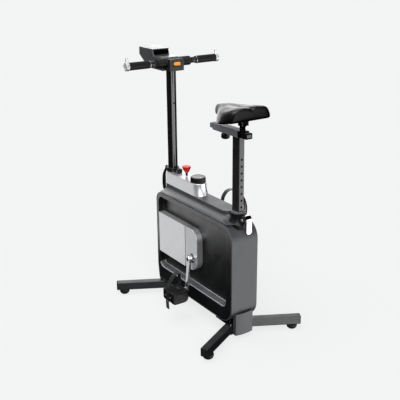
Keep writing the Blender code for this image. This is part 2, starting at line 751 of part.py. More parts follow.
def leg_bracket(name, end):
    """A leg hinge bracket under one end of the case; end is 1 at the rear, -1 at the front."""
    reach = LEG_PIVOT_X + LEG_WIDTH / 2
    outer_y = LEG_PIVOT_Y + LEG_WIDTH / 2 + 0.0115
    bracket = box(name, (-reach - 0.0035, reach + 0.0035),
                  (end * BRACKET_INNER_Y, end * outer_y), (PLATE_BOTTOM, PLATE_TOP))
    web = box(name + "_web", (-0.018, 0.018), (end * (LEG_PIVOT_Y - 0.030), end * outer_y),
              (FLOOR_BOTTOM, PLATE_TOP - 0.002))
    floor = box(name + "_floor", (-reach, reach), (end * (LEG_PIVOT_Y - 0.024), end * outer_y),
                (FLOOR_BOTTOM, FLOOR_TOP))
    half = BRACKET_WALL_WIDTH / 2
    corner_y = outer_y + 0.0185
    steps = 6
    bulge = [(half - 2 * half * k / steps,
              end * (corner_y + BRACKET_WALL_BULGE * (1 - (1 - 2 * k / steps) ** 2)))
             for k in range(steps + 1)]
    wall_top = BODY_BOTTOM + BRACKET_WALL_RISE if end > 0 else PLATE_TOP
    loop = [(-half, end * (outer_y - 0.003)), (half, end * (outer_y - 0.003)), *bulge]
    wall = prism(name + "_wall", [loop], "XY", FLOOR_BOTTOM, wall_top)
    bracket = join(bracket, web, floor, wall)
    case = prism(name + "_case", [body_outline(-GAP)], "YZ", -0.1, 0.1)
    bores = [rod(name + "_bore", "Z", (side * LEG_PIVOT_X, end * LEG_PIVOT_Y, 0),
                 LEG_PIN_RADIUS + GAP, 0.0, PLATE_TOP + 0.01, 12) for side in (1, -1)]
    return finish(cut(bracket, case, *bores), GRAPHITE, 0.45, 0.3)


def leg_frame(side, end):
    """Pivot, length to the foot and splay of the leg at one corner."""
    pivot = Vector((side * LEG_PIVOT_X, end * LEG_PIVOT_Y))
    foot = Vector((side * FOOT_SPAN_X / 2, end * FOOT_SPAN_Y / 2))
    reach = foot - pivot
    return pivot, reach.length, math.atan2(reach.y, reach.x)


def along_leg(side, end, points):
    """Place (along, across) points in a leg's own frame."""
    pivot, _, angle = leg_frame(side, end)
    return [(pivot.x + u * math.cos(angle) - v * math.sin(angle),
             pivot.y + u * math.sin(angle) + v * math.cos(angle)) for u, v in points]


def leg(name, side, end):
    """A rectangular tube leg with a round hinge end."""
    pivot, reach, _ = leg_frame(side, end)
    length = reach + LEG_PAST_FOOT
    half = LEG_WIDTH / 2
    root = [(half * math.cos(a), half * math.sin(a))
            for a in (math.pi / 2 + math.pi * k / 10 for k in range(11))]
    outline = along_leg(side, end, [*root, (length, -half), (length, half)])
    tube = prism(name, [outline], "XY", LEG_BOTTOM, LEG_TOP)
    inner = half - LEG_WALL
    pocket = prism(name + "_pocket", [along_leg(side, end, [
        (half + 0.012, -inner), (length + 0.01, -inner), (length + 0.01, inner), (half + 0.012, inner)])],
        "XY", LEG_BOTTOM + LEG_WALL, LEG_TOP - LEG_WALL)
    bore = rod(name + "_bore", "Z", (pivot.x, pivot.y, 0), LEG_PIN_RADIUS + RUN, 0.0, LEG_TOP + 0.01, 12)
    pivot_at(tube, (pivot.x, pivot.y, LEG_TOP))
    return finish(cut(tube, pocket, bore), GRAPHITE, 0.45, 0.3)


def leg_pin(name, side, end):
    """A hinge pin with its head below the bracket."""
    head = FLOOR_BOTTOM - GAP
    profile = [(0, PLATE_TOP), (LEG_PIN_RADIUS, PLATE_TOP), (LEG_PIN_RADIUS, head),
               (LEG_PIN_RADIUS * 1.9, head), (LEG_PIN_RADIUS * 1.9, head - 0.0025), (0, head - 0.0035)]
    pin = turned(name, profile, "Z", (side * LEG_PIVOT_X, end * LEG_PIVOT_Y, 0), 12)
    return finish(pin, STEEL, 0.3, 1.0)


def cap_outline(side, end):
    """The cap on a leg's end, seen from above."""
    _, reach, _ = leg_frame(side, end)
    start = reach + LEG_PAST_FOOT + GAP
    half = LEG_WIDTH / 2
    return along_leg(side, end, [(start, -half), (start + FOOT_CAP, -half + FOOT_CAP_TAPER),
                                 (start + FOOT_CAP, half - FOOT_CAP_TAPER), (start, half)])


def foot(name, side, end):
    """A rubber pad under the leg, moulded in one with the cap that closes the tube."""
    pivot, reach, angle = leg_frame(side, end)
    length = reach + LEG_PAST_FOOT
    centre = along_leg(side, end, [(reach, 0.0)])[0]
    profile = [(0, FOOT_HEIGHT), (FOOT_RADIUS, FOOT_HEIGHT), (FOOT_RADIUS, FOOT_HEIGHT * 0.55),
               (FOOT_RADIUS * 0.86, FOOT_HEIGHT * 0.12), (FOOT_RADIUS * 0.76, 0), (0, 0)]
    pad = turned(name, profile, "Z", (*centre, 0), 16)
    inner = LEG_WIDTH / 2 - LEG_WALL - RUN
    start = length + GAP
    strip = prism(name + "_strip", [along_leg(side, end, [
        (reach, -0.012), (start + 0.002, -0.012), (start + 0.002, 0.012), (reach, 0.012)])],
        "XY", FOOT_HEIGHT - 0.010, FOOT_HEIGHT)
    cap = prism(name + "_cap", [cap_outline(side, end)], "XY", FOOT_HEIGHT - 0.008, LEG_TOP)
    plug = prism(name + "_plug", [along_leg(side, end, [
        (length - 0.012, -inner), (start + 0.002, -inner), (start + 0.002, inner),
        (length - 0.012, inner)])],
        "XY", LEG_BOTTOM + LEG_WALL + RUN, LEG_TOP - LEG_WALL - RUN)
    return finish(join(pad, strip, cap, plug), BLACK, 0.8, 0.0)


def crank_axle():
    """The crank axle right through the case."""
    reach = CRANK_INNER_X + CRANK_HUB_DEPTH - 0.005
    axle = rod("crank_axle", "X", (0, 0, CRANK_Z), AXLE_RADIUS, -reach, reach)
    pivot_at(axle, (0, 0, CRANK_Z))
    return finish(axle, STEEL, 0.3, 1.0)


def bottom_bracket():
    """The bearing cartridge in the crank shell."""
    outer = SHELL_RADIUS - SHELL_WALL - GAP
    inner = AXLE_RADIUS + GAP
    start = PLATE_X - 0.009
    end = PULLEY_X - 0.004
    profile = [(outer, end), (outer, start), (inner, start), (inner, end)]
    return finish(turned("bottom_bracket", profile, "X", (0, 0, CRANK_Z), 24, True), STEEL, 0.35, 1.0)


def drive_pulley():
    """The large pulley on the crank axle."""
    left = PULLEY_X
    right = PULLEY_X + PULLEY_WIDTH
    web = (left + right) / 2
    bore = AXLE_RADIUS + GAP
    rim = PULLEY_RADIUS - 0.009
    profile = [(bore, right), (bore + 0.012, right), (rim, web + 0.002), (rim, right),
               (PULLEY_RADIUS, right), (PULLEY_RADIUS, left), (rim, left), (rim, web - 0.002),
               (bore + 0.012, left), (bore, left)]
    return finish(turned("drive_pulley", profile, "X", (0, 0, CRANK_Z), 28, True), BLACK, 0.5, 0.2)


def belt_loop(extra):
    """The belt's path round both pulleys, at a distance outside them."""
    big = PULLEY_RADIUS + extra
    small = SMALL_PULLEY_RADIUS + extra
    span = math.hypot(FLYWHEEL_Y, FLYWHEEL_RISE)
    heading = math.atan2(FLYWHEEL_RISE, FLYWHEEL_Y)
    lean = math.acos((big - small) / span)
    points = []
    steps = 26
    for k in range(steps + 1):
        a = heading + lean + (FULL_TURN - 2 * lean) * k / steps
        points.append((big * math.cos(a), CRANK_Z + big * math.sin(a)))
    for k in range(9):
        a = heading - lean + 2 * lean * k / 8
        points.append((FLYWHEEL_Y + small * math.cos(a), FLYWHEEL_Z + small * math.sin(a)))
    return points


def drive_belt():
    """The flat belt between the two pulleys."""
    middle = PULLEY_X + PULLEY_WIDTH / 2
    belt = prism("drive_belt", [belt_loop(BELT_LIFT + BELT_THICKNESS), belt_loop(BELT_LIFT)], "YZ",
                 middle - BELT_WIDTH / 2, middle + BELT_WIDTH / 2)
    return finish(belt, BLACK, 0.8, 0.0)


def flywheel():
    """The flywheel, turned in one with its small pulley."""
    left = FLYWHEEL_X
    right = FLYWHEEL_X + FLYWHEEL_WIDTH
    web = (left + right) / 2
    bore = FLYWHEEL_AXLE_RADIUS + RUN
    rim = FLYWHEEL_RADIUS - 0.024
    end = PULLEY_X + PULLEY_WIDTH
    profile = [(SMALL_PULLEY_RADIUS, end), (SMALL_PULLEY_RADIUS, web + 0.003), (rim, web + 0.003),
               (rim, right), (FLYWHEEL_RADIUS, right), (FLYWHEEL_RADIUS, left), (rim, left),
               (rim, web - 0.003), (bore + 0.012, web - 0.003), (bore + 0.012, left),
               (bore, left), (bore, end)]
    wheel = turned("flywheel", profile, "X", (0, FLYWHEEL_Y, FLYWHEEL_Z), 24, True)
    return finish(wheel, (0.25, 0.25, 0.26), 0.4, 1.0)


def flywheel_axle():
    """The fixed axle of the flywheel, with its nut outside the pulley."""
    end = PULLEY_X + PULLEY_WIDTH + RUN
    start = PLATE_X - 0.009
    radius = FLYWHEEL_AXLE_RADIUS
    profile = [(0, end + 0.004), (radius + 0.004, end + 0.004), (radius + 0.004, end), (radius, end),
               (radius, start), (0, start)]
    axle = turned("flywheel_axle", profile, "X", (0, FLYWHEEL_Y, FLYWHEEL_Z), 16)
    return finish(axle, STEEL, 0.3, 1.0)


def magnet_radius():
    """Middle radius of the magnet arm round the flywheel."""
    return FLYWHEEL_RADIUS + MAGNET_GAP + MAGNET_THICKNESS / 2


def magnet_point(degrees, radius):
    """A (y, z) point round the flywheel's axis."""
    angle = math.radians(degrees)
    return FLYWHEEL_Y + radius * math.cos(angle), FLYWHEEL_Z + radius * math.sin(angle)


def magnet_arm():
    """The curved shoe that carries the magnets over the flywheel's rim."""
    inner = magnet_radius() - MAGNET_THICKNESS / 2
    outer = magnet_radius() + MAGNET_THICKNESS / 2
    steps = 8
    angles = [MAGNET_FROM + (MAGNET_TO - MAGNET_FROM) * k / steps for k in range(steps + 1)]
    loop = [magnet_point(a, outer) for a in angles] + [magnet_point(a, inner) for a in reversed(angles)]
    pin = magnet_point(MAGNET_FROM, magnet_radius())
    eye = MAGNET_PIN_RADIUS + 0.004
    start = FLYWHEEL_X + 0.001
    end = FLYWHEEL_X + FLYWHEEL_WIDTH - 0.001
    arm = prism("magnet_arm", [loop], "YZ", start, end)
    join(arm, rod("magnet_eye", "X", (0, *pin), eye - 0.0018, start, end, 20))
    cut(arm, rod("magnet_bore", "X", (0, *pin), MAGNET_PIN_RADIUS + RUN, -0.05, 0.05, 16))
    pivot_at(arm, (0, *pin))
    return finish(arm, STEEL, 0.4, 1.0)


def tension_cable():
    """The pull cable from the dial's drum to the free end of the magnet arm."""
    low = magnet_point(MAGNET_TO - CABLE_INSET, magnet_radius() + MAGNET_THICKNESS / 2 + GAP + CABLE_RADIUS / 2)
    high = (DIAL_Y - DRUM_RADIUS - GAP, drum_top_z() - DRUM_HEIGHT / 2)
    middle_x = FLYWHEEL_X + FLYWHEEL_WIDTH / 2
    start = Vector((middle_x, *low))
    end = Vector((0, *high))
    pull = Vector((0, 0, 0.030))
    lead = Vector((0, 0.012, 0.0))
    points = []
    for k in range(13):
        t = k / 12
        s = 1 - t
        points.append(tuple(start * s ** 3 + (start + pull) * 3 * s * s * t
                            + (end - lead * 3) * 3 * s * t * t + end * t ** 3))
    return finish(wire("tension_cable", points, CABLE_RADIUS), BLACK, 0.5, 0.3)


def crank(name, side, down):
    """A crank arm, flared outward to its pedal end; down is -1 or 1."""
    inner = CRANK_INNER_X + 0.005
    eye_z = CRANK_Z + down * CRANK_LENGTH
    loop = []
    for k in range(9):
        a = math.pi * k / 8
        loop.append((CRANK_HUB_RADIUS * math.cos(a), CRANK_Z - down * CRANK_HUB_RADIUS * math.sin(a)))
    for k in range(9):
        a = math.pi + math.pi * k / 8
        loop.append((CRANK_EYE_RADIUS * math.cos(a), eye_z - down * CRANK_EYE_RADIUS * math.sin(a)))
    arm = prism(name, [loop], "YZ", side * inner, side * (inner + CRANK_THICKNESS))
    for vertex in arm.data.vertices:
        along = (vertex.co.z - CRANK_Z) * down / CRANK_LENGTH
        vertex.co.x += side * CRANK_FLARE * min(max(along, 0.0), 1.0)
    bevel(arm, 0.0015)
    hub = rod(name + "_hub", "X", (0, 0, CRANK_Z), CRANK_HUB_RADIUS + 0.0015,
              side * CRANK_INNER_X, side * (CRANK_INNER_X + CRANK_HUB_DEPTH))
    bore = rod(name + "_bore", "X", (0, 0, CRANK_Z), AXLE_RADIUS + GAP, side * 0.02, side * 0.2)
    eye = rod(name + "_eye", "X", (0, 0, eye_z), PEDAL_AXLE_RADIUS + GAP, side * 0.02, side * 0.2, 16)
    cut(join(arm, hub), bore, eye)
    pivot_at(arm, (0, 0, CRANK_Z))
    return finish(arm, SILVER, 0.25, 1.0)


def pedal_axle(name, side, z):
    """The pedal's spindle, screwed into the crank up to its shoulder."""
    face = CRANK_INNER_X + 0.005 + CRANK_THICKNESS + CRANK_FLARE
    start = face - CRANK_THICKNESS
    shoulder = PEDAL_AXLE_RADIUS + 0.0035
    end = PEDAL_INNER_X + PEDAL_WIDTH - 0.004
    profile = [(0, start), (PEDAL_AXLE_RADIUS, start), (PEDAL_AXLE_RADIUS, face + GAP),
               (shoulder, face + GAP), (shoulder, PEDAL_INNER_X - RUN),
               (PEDAL_AXLE_RADIUS, PEDAL_INNER_X - RUN), (PEDAL_AXLE_RADIUS, end), (0, end)]
    profile = [(r, side * h) for r, h in profile]
    if side > 0:
        profile.reverse()
    axle = turned(name, profile, "X", (0, 0, z), 16)
    return finish(axle, STEEL, 0.3, 1.0)


def pedal(name, side, z):
    """A self-righting pedal: a flat tread with two pockets over a deep, rounded, weighted body."""
    inner = PEDAL_INNER_X
    outer = PEDAL_INNER_X + PEDAL_WIDTH
    half = PEDAL_LENGTH / 2
    top = z + PEDAL_RISE
    low = top - PEDAL_DEPTH
    outline = rounded([(-half, low, PEDAL_ROUND), (half, low, PEDAL_ROUND),
                       (half, top, 0.004), (-half, top, 0.004)], 4)
    body = prism(name, [outline], "YZ", side * inner, side * outer)
    bevel(body, 0.003)
    pockets = [box(name + "_pocket", (side * (inner + 0.014), side * (outer - 0.016)),
                   (edge * 0.011, edge * (half - 0.011)), (top - 0.012, top + 0.01)) for edge in (1, -1)]
    bore = rod(name + "_bore", "X", (0, 0, z), PEDAL_AXLE_RADIUS + RUN,
               side * (inner - 0.01), side * (outer - 0.003), 16)
    cut(body, *pockets, bore)
    pivot_at(body, (0, 0, z))
    return finish(body, BLACK, 0.6, 0.0)


# Straps from the inner to the outer side: share across the pedal, share of the strap's height
LEFT_STRAP = ((0.44, 0.0), (0.34, 0.0), (0.30, 0.06), (0.275, 0.24), (0.265, 0.52), (0.27, 0.80),
              (0.31, 0.94), (0.40, 1.0), (0.51, 0.955), (0.62, 0.87), (0.73, 0.74), (0.83, 0.58),
              (0.92, 0.40), (0.985, 0.22), (1.0, 0.0), (1.0, -0.35), (1.01, -0.75), (0.99, -1.15))
RIGHT_STRAP = ((0.18, 0.0), (0.06, 0.0), (0.0, 0.07), (-0.06, 0.35), (-0.08, 0.62), (-0.02, 0.80),
               (0.16, 0.95), (0.40, 1.0), (0.70, 0.96), (1.02, 0.80), (1.27, 0.58), (1.41, 0.32),
               (1.43, 0.08), (1.34, -0.14), (1.18, -0.26), (1.03, -0.30), (1.0, -0.33), (1.0, -0.40))


def strap_path(side, z, table, height):
    """The strap's middle line over the foot, as (x, z) points."""
    rest = GAP + STRAP_THICKNESS / 2
    base = z + PEDAL_RISE + rest
    return [(side * (PEDAL_INNER_X + share * (PEDAL_WIDTH + rest)), base + rise * height)
            for share, rise in table]


def strap(name, side, z, table, height):
    """The foot strap: a flat band bent over the pedal, thickened from a sheet."""
    path = strap_path(side, z, table, height)
    half = STRAP_WIDTH / 2
    points = [(x, y, h) for x, h in path for y in (-half, half)]
    faces = [(2 * i, 2 * i + 2, 2 * i + 3, 2 * i + 1) for i in range(len(path) - 1)]
    mesh = bpy.data.meshes.new(name)
    mesh.from_pydata(points, [], faces)
    band = mesh_object(name, mesh)
    solid = band.modifiers.new("thickness", "SOLIDIFY")
    solid.thickness = STRAP_THICKNESS
    solid.offset = 0.0
    solid.use_even_offset = True
    pivot_at(band, (0, 0, z))
    return finish(band, BLACK, 0.7, 0.0)


def drum_top_z():
    """Top of the dial's cable drum, below the spine's top wall."""
    return SPINE_TOP - SPINE_WALL - DRUM_DROP


def resistance_dial():
    """The round dial, with its spindle and cable drum below the spine's top wall."""
    bottom = BAR_TOP + RUN
    top = bottom + DIAL_HEIGHT
    drum_top = drum_top_z()
    profile = [(0, top), (DIAL_RADIUS - 0.004, top), (DIAL_RADIUS - 0.001, top - 0.002),
               (DIAL_RADIUS, top - 0.006), (DIAL_RADIUS, bottom), (SPINDLE_RADIUS, bottom),
               (SPINDLE_RADIUS, drum_top), (DRUM_RADIUS, drum_top), (DRUM_RADIUS, drum_top - DRUM_HEIGHT),
               (0, drum_top - DRUM_HEIGHT)]
    return finish(turned("resistance_dial", profile, "Z", (0, DIAL_Y, 0), 24), BLACK, 0.4, 0.1)


def stop_knob():
    """The red push knob, a cone like a golf tee."""
    bottom = BAR_TOP + STOP_TRAVEL + 0.0015
    top = bottom + STOP_HEIGHT
    bore = ROD_RADIUS + GAP
    profile = [(0, top), (STOP_RADIUS - 0.002, top), (STOP_RADIUS, top - 0.003),
               (STOP_RADIUS * 0.72, top - 0.015), (STOP_RADIUS * 0.40, top - 0.028),
               (0.0055, bottom + 0.006), (0.0065, bottom + 0.005), (0.0065, bottom),
               (bore, bottom), (bore, bottom + 0.020), (0, bottom + 0.020)]
    return finish(turned("stop_knob", profile, "Z", (0, STOP_Y, 0), 16), RED, 0.3, 0.0)


def brake_rod():
    """The stop knob's rod, with a spring flange and the brake pad on its end."""
    top = BAR_TOP + STOP_TRAVEL + 0.0015 + 0.0195
    flange = BAR_BOTTOM + 0.034
    pad_bottom = FLYWHEEL_Z + FLYWHEEL_RADIUS + STOP_TRAVEL + 0.0005
    pad_top = pad_bottom + PAD_HEIGHT
    profile = [(0, top), (ROD_RADIUS, top), (ROD_RADIUS, flange), (SPRING_RADIUS + 0.0015, flange),
               (SPRING_RADIUS + 0.0015, flange - 0.003), (ROD_RADIUS, flange - 0.003),
               (ROD_RADIUS, pad_top - 0.002), (0, pad_top - 0.002)]
    shaft = turned("brake_rod", profile, "Z", (0, STOP_Y, 0), 16)
    pad = box("brake_pad", (FLYWHEEL_X + 0.002, FLYWHEEL_X + FLYWHEEL_WIDTH - 0.002),
              (STOP_Y - 0.010, STOP_Y + 0.010), (pad_bottom, pad_top))
    return finish(join(shaft, pad), STEEL, 0.4, 1.0)


def brake_spring():
    """The return spring between the spine and the rod's flange."""
    low = BAR_BOTTOM + SPRING_WIRE
    high = BAR_BOTTOM + 0.031 - SPRING_WIRE - GAP
    steps = SPRING_TURNS * SPRING_FACETS
    points = []
    for k in range(steps + 1):
        a = FULL_TURN * k / SPRING_FACETS
        points.append((SPRING_RADIUS * math.cos(a), STOP_Y + SPRING_RADIUS * math.sin(a),
                       low + (high - low) * k / steps))
    return finish(wire("brake_spring", points, SPRING_WIRE), STEEL, 0.3, 1.0)


def handlebar_post():
    """The round telescopic post, open below, with one index hole at the rear."""
    radius = HANDLEBAR_POST_RADIUS
    bore = radius - HANDLEBAR_POST_WALL
    profile = [(0, HANDLEBAR_POST_TOP), (radius, HANDLEBAR_POST_TOP), (radius, HANDLEBAR_POST_BOTTOM),
               (bore, HANDLEBAR_POST_BOTTOM), (bore, HANDLEBAR_POST_TOP - 0.01),
               (0, HANDLEBAR_POST_TOP - 0.01)]
    post = turned("handlebar_post", profile, "Z", (0, HANDLEBAR_POST_Y, 0), 24)
    hole = rod("post_hole", "Y", (0, 0, POST_HOLE_Z), POST_HOLE_RADIUS,
               HANDLEBAR_POST_Y + 0.005, HANDLEBAR_POST_Y + 0.05, 16)
    return finish(cut(post, hole), BLACK, 0.15, 0.2)


def handlebar_collar():
    """The clamp collar on the head tube, with its rear hinge lug and front lever ear."""
    inner = HEAD_TUBE_RADIUS + GAP
    outer = inner + COLLAR_WALL
    bottom = BAR_TOP + GAP
    profile = [(inner, COLLAR_TOP), (outer, COLLAR_TOP), (outer, bottom), (inner, bottom)]
    collar = turned("handlebar_collar", profile, "Z", (0, HANDLEBAR_POST_Y, 0), 24, True)
    lug = box("collar_lug", (-0.013, 0.013),
              (HANDLEBAR_POST_Y + outer - 0.001, HANDLEBAR_POST_Y + outer + COLLAR_LUG),
              (bottom, COLLAR_TOP))
    y, z = handlebar_lever_axis()
    eye = rod("collar_eye", "X", (0, y, z), COLLAR_EYE_RADIUS, -COLLAR_EAR_HALF, COLLAR_EAR_HALF, 24)
    ear = box("collar_ear", (-COLLAR_EAR_HALF, COLLAR_EAR_HALF), (y, HANDLEBAR_POST_Y - outer + 0.001),
              (z - COLLAR_EYE_RADIUS + 0.0003, z - 0.0005))
    bore = rod("collar_bore", "X", (0, y, z), LEVER_PIN_RADIUS + RUN, -0.02, 0.02, 16)
    return finish(cut(join(collar, lug, ear, eye), bore), BLACK, 0.4, 0.1)


def handlebar_lever_axis():
    """The (y, z) axis of the handlebar clamp's lever."""
    outer = HEAD_TUBE_RADIUS + GAP + COLLAR_WALL
    return HANDLEBAR_POST_Y - outer - COLLAR_EAR_REACH, BAR_TOP + COLLAR_HEIGHT * 0.55


def handlebar_lever():
    """The black clamp lever that hangs down in front of the spine."""
    y, z = handlebar_lever_axis()
    half = HANDLEBAR_LEVER_WIDTH / 2
    low = z - HANDLEBAR_LEVER_LENGTH
    loop = [(y + 0.005, z - 0.003), (y + 0.004, z + 0.005), (y - 0.005, z + 0.005), (y - 0.008, z - 0.006),
            (y - 0.016, z - 0.026), (y - 0.022, z - 0.050), (y - 0.022, low + 0.006), (y - 0.018, low),
            (y - 0.011, low + 0.004), (y - 0.010, z - 0.050), (y - 0.005, z - 0.024)]
    lever = prism("handlebar_lever", [loop], "YZ", -half, half)
    bevel(lever, 0.001)
    slot_half = COLLAR_EAR_HALF + RUN
    slot = box("lever_slot", (-slot_half, slot_half), (y - COLLAR_EYE_RADIUS - RUN, y + 0.02), (z - 0.018, z + 0.02))
    pin = rod("lever_pin", "X", (0, y, z), LEVER_PIN_RADIUS, -half + 0.001, half - 0.001, 16)
    join(cut(lever, slot), pin)
    pivot_at(lever, (0, y, z))
    return finish(lever, BLACK, 0.5, 0.0)


def handlebar_yoke():
    """The handlebar's centre: cross tube, push-button block, post socket and two hinge tongues."""
    y = HANDLEBAR_Y
    z = HANDLEBAR_Z
    low = BLOCK_TOP_Z - BLOCK_HEIGHT
    yoke = rod("handlebar_yoke", "X", (0, y, z), YOKE_RADIUS, -YOKE_HALF, YOKE_HALF, 24)
    block = box("yoke_block", (-BLOCK_WIDTH / 2, BLOCK_WIDTH / 2), (y - 0.012, BLOCK_REAR_Y), (low, BLOCK_TOP_Z))
    socket_half = HANDLEBAR_POST_RADIUS + 0.0055
    socket = box("yoke_socket", (-socket_half, socket_half),
                 (HANDLEBAR_POST_Y - socket_half, y), (low, HANDLEBAR_POST_TOP + 0.005))
    tongues = []
    for side in (1, -1):
        arc = [(side * (FOLD_X + KNUCKLE_RADIUS * math.sin(math.pi * k / 6)),
                z - KNUCKLE_RADIUS * math.cos(math.pi * k / 6)) for k in range(7)]
        loop = [(side * (YOKE_HALF - 0.006), z - KNUCKLE_RADIUS), *arc,
                (side * (YOKE_HALF - 0.006), z + KNUCKLE_RADIUS)]
        tongues.append(prism("yoke_tongue", [loop], "XZ", y - TONGUE_THICKNESS / 2, y + TONGUE_THICKNESS / 2))
    join(yoke, block, socket, *tongues)
    bores = [rod("yoke_pin_bore", "Y", (side * FOLD_X, y, z), FOLD_PIN_RADIUS + RUN, y - 0.02, y + 0.02, 16)
             for side in (1, -1)]
    bore = rod("yoke_post_bore", "Z", (0, HANDLEBAR_POST_Y, 0), HANDLEBAR_POST_RADIUS + GAP,
               low - 0.01, HANDLEBAR_POST_TOP + GAP, 24)
    middle = (low + BLOCK_TOP_Z) / 2 + 0.006
    pocket = box("yoke_pocket", (-BUTTON_WIDTH / 2 - RUN, BUTTON_WIDTH / 2 + RUN),
                 (BLOCK_REAR_Y - BUTTON_DEPTH, BLOCK_REAR_Y + 0.01),
                 (middle - BUTTON_HEIGHT / 2 - RUN, middle + BUTTON_HEIGHT / 2 + RUN))
    return finish(cut(yoke, bore, pocket, *bores), GRAPHITE, 0.5, 0.1)


def release_button():
    """The orange push button in the yoke's rear face."""
    low = BLOCK_TOP_Z - BLOCK_HEIGHT
    middle = (low + BLOCK_TOP_Z) / 2 + 0.006
    outline = rounded_box((-BUTTON_WIDTH / 2, BUTTON_WIDTH / 2),
                          (middle - BUTTON_HEIGHT / 2, middle + BUTTON_HEIGHT / 2), 0.007, 4)
    button = prism("release_button", [outline], "XZ",
                   BLOCK_REAR_Y - BUTTON_DEPTH + BUTTON_PROUD, BLOCK_REAR_Y + BUTTON_PROUD)
    bevel(button, 0.0012)
    pivot_at(button, (0, BLOCK_REAR_Y, middle))
    return finish(button, ORANGE, 0.35, 0.0)


def handle_arm(name, side):
    """A folding handle arm: hinge fork with its pin, tube, and polished end cap with a small horn."""
    y = HANDLEBAR_Y
    z = HANDLEBAR_Z
    disc = FOLD_X + KNUCKLE_RADIUS + 0.001
    grip_face = GRIP_START_X - GAP
    arm = rod(name, "X", (0, y, z), ARM_RADIUS, side * (disc + 0.001), side * (ARM_END_X - 0.002), 16)
    flange = rod(name + "_flange", "X", (0, y, z), GRIP_RADIUS - 0.0005, side * disc, side * grip_face, 20)
    inner = TONGUE_THICKNESS / 2 + RUN
    cheeks = []
    for edge in (1, -1):
        arc = [(side * (FOLD_X - KNUCKLE_RADIUS * math.sin(math.pi * k / 6)),
                z + KNUCKLE_RADIUS * math.cos(math.pi * k / 6)) for k in range(7)]
        loop = [(side * (disc + 0.001), z + KNUCKLE_RADIUS), *arc, (side * (disc + 0.001), z - KNUCKLE_RADIUS)]
        cheeks.append(prism(name + "_cheek", [loop], "XZ", y + edge * inner, y + edge * (inner + CHEEK_THICKNESS)))
    reach = inner + CHEEK_THICKNESS + 0.0012
    pin = rod(name + "_pin", "Y", (side * FOLD_X, y, z), FOLD_PIN_RADIUS, y - reach, y + reach, 16)
    cap = turned(name + "_cap", [(0, CAP_LENGTH), (CAP_RADIUS - 0.003, CAP_LENGTH), (CAP_RADIUS, CAP_LENGTH - 0.003),
                                 (CAP_RADIUS, 0), (0, 0)], "X", (side * (ARM_END_X - CAP_LENGTH), y, z), 20)
    if side < 0:
        cap.matrix_world = Matrix.Translation((-ARM_END_X + CAP_LENGTH, y, z)) @ Matrix.Rotation(-math.pi / 2, 4, "Y")
    horn = box(name + "_horn", (side * (ARM_END_X - CAP_LENGTH + 0.0005), side * (ARM_END_X - 0.003)),
               (y - 0.0035, y + 0.0035), (z + CAP_RADIUS - 0.006, z + CAP_RADIUS + HORN_HEIGHT))
    join(arm, flange, *cheeks, pin, cap, horn)
    pivot_at(arm, (side * FOLD_X, y, z))
    return finish(arm, SILVER, 0.2, 1.0)


def grip(name, side):
    """A foam sleeve on a handle arm."""
    start = GRIP_START_X
    end = ARM_END_X - CAP_LENGTH - GAP
    bore = ARM_RADIUS + GAP
    profile = [(bore, end), (GRIP_RADIUS, end), (GRIP_RADIUS, start), (bore, start)]
    if side < 0:
        profile = [(r, -h) for r, h in reversed(profile)]
    sleeve = turned(name, profile, "X", (0, HANDLEBAR_Y, HANDLEBAR_Z), 24, True)
    return finish(sleeve, BLACK, 0.9, 0.0)


def console_outline(inset):
    """The console seen from the side."""
    deck = CONSOLE_DECK_Z - inset
    return [(CONSOLE_FRONT_Y + inset, CONSOLE_TOP_Z - inset),
            (CONSOLE_FRONT_Y + inset, CONSOLE_TOP_Z - CONSOLE_FRONT_DEPTH + inset * 0.5),
            (CONSOLE_FRONT_Y + CONSOLE_NOSE_REACH + inset * 0.5, CONSOLE_TOP_Z - CONSOLE_NOSE_DROP + inset),
            (CONSOLE_FRONT_Y + CONSOLE_FLOOR_REACH, CONSOLE_BOTTOM_Z + inset),
            (CONSOLE_REAR_Y - inset, CONSOLE_BOTTOM_Z + inset),
            (CONSOLE_REAR_Y - inset, deck),
            (CONSOLE_DISPLAY_Y + DISPLAY_LEAN + 0.001 - inset, deck),
            (CONSOLE_DISPLAY_Y - inset, CONSOLE_TOP_Z - HOOD_LIP - inset)]


def console_body():
    """The console housing in front of the handlebar, hollow round the yoke's socket."""
    half = CONSOLE_WIDTH / 2
    body = prism("console_body", [console_outline(0)], "YZ", -half, half)
    bevel(body, 0.002)
    hollow = prism("console_hollow", [console_outline(CONSOLE_WALL)], "YZ",
                   -half + CONSOLE_WALL, half - CONSOLE_WALL)
    tube = rod("console_tube", "X", (0, HANDLEBAR_Y, HANDLEBAR_Z), YOKE_RADIUS + GAP, -0.1, 0.1, 24)
    socket_half = HANDLEBAR_POST_RADIUS + 0.0055 + GAP
    socket = box("console_socket", (-socket_half, socket_half),
                 (HANDLEBAR_POST_Y - socket_half, HANDLEBAR_Y), (CONSOLE_BOTTOM_Z - 0.01, HANDLEBAR_POST_TOP + 0.006))
    return finish(cut(body, hollow, tube, socket), GRAPHITE, 0.5, 0.1)


def console_display():
    """The dark display window, facing the rider on the console's step."""
    low = (CONSOLE_DISPLAY_Y + DISPLAY_LEAN, CONSOLE_DECK_Z + DISPLAY_MARGIN)
    high = (CONSOLE_DISPLAY_Y, CONSOLE_TOP_Z - HOOD_LIP)
    loop = [(low[0] + GAP, low[1]), (high[0] + GAP, high[1]),
            (high[0] + GAP + DISPLAY_THICKNESS, high[1]), (low[0] + GAP + DISPLAY_THICKNESS, low[1])]
    half = CONSOLE_WIDTH / 2 - 0.001
    return finish(prism("console_display", [loop], "YZ", -half, half), BLACK, 0.1, 0.0)


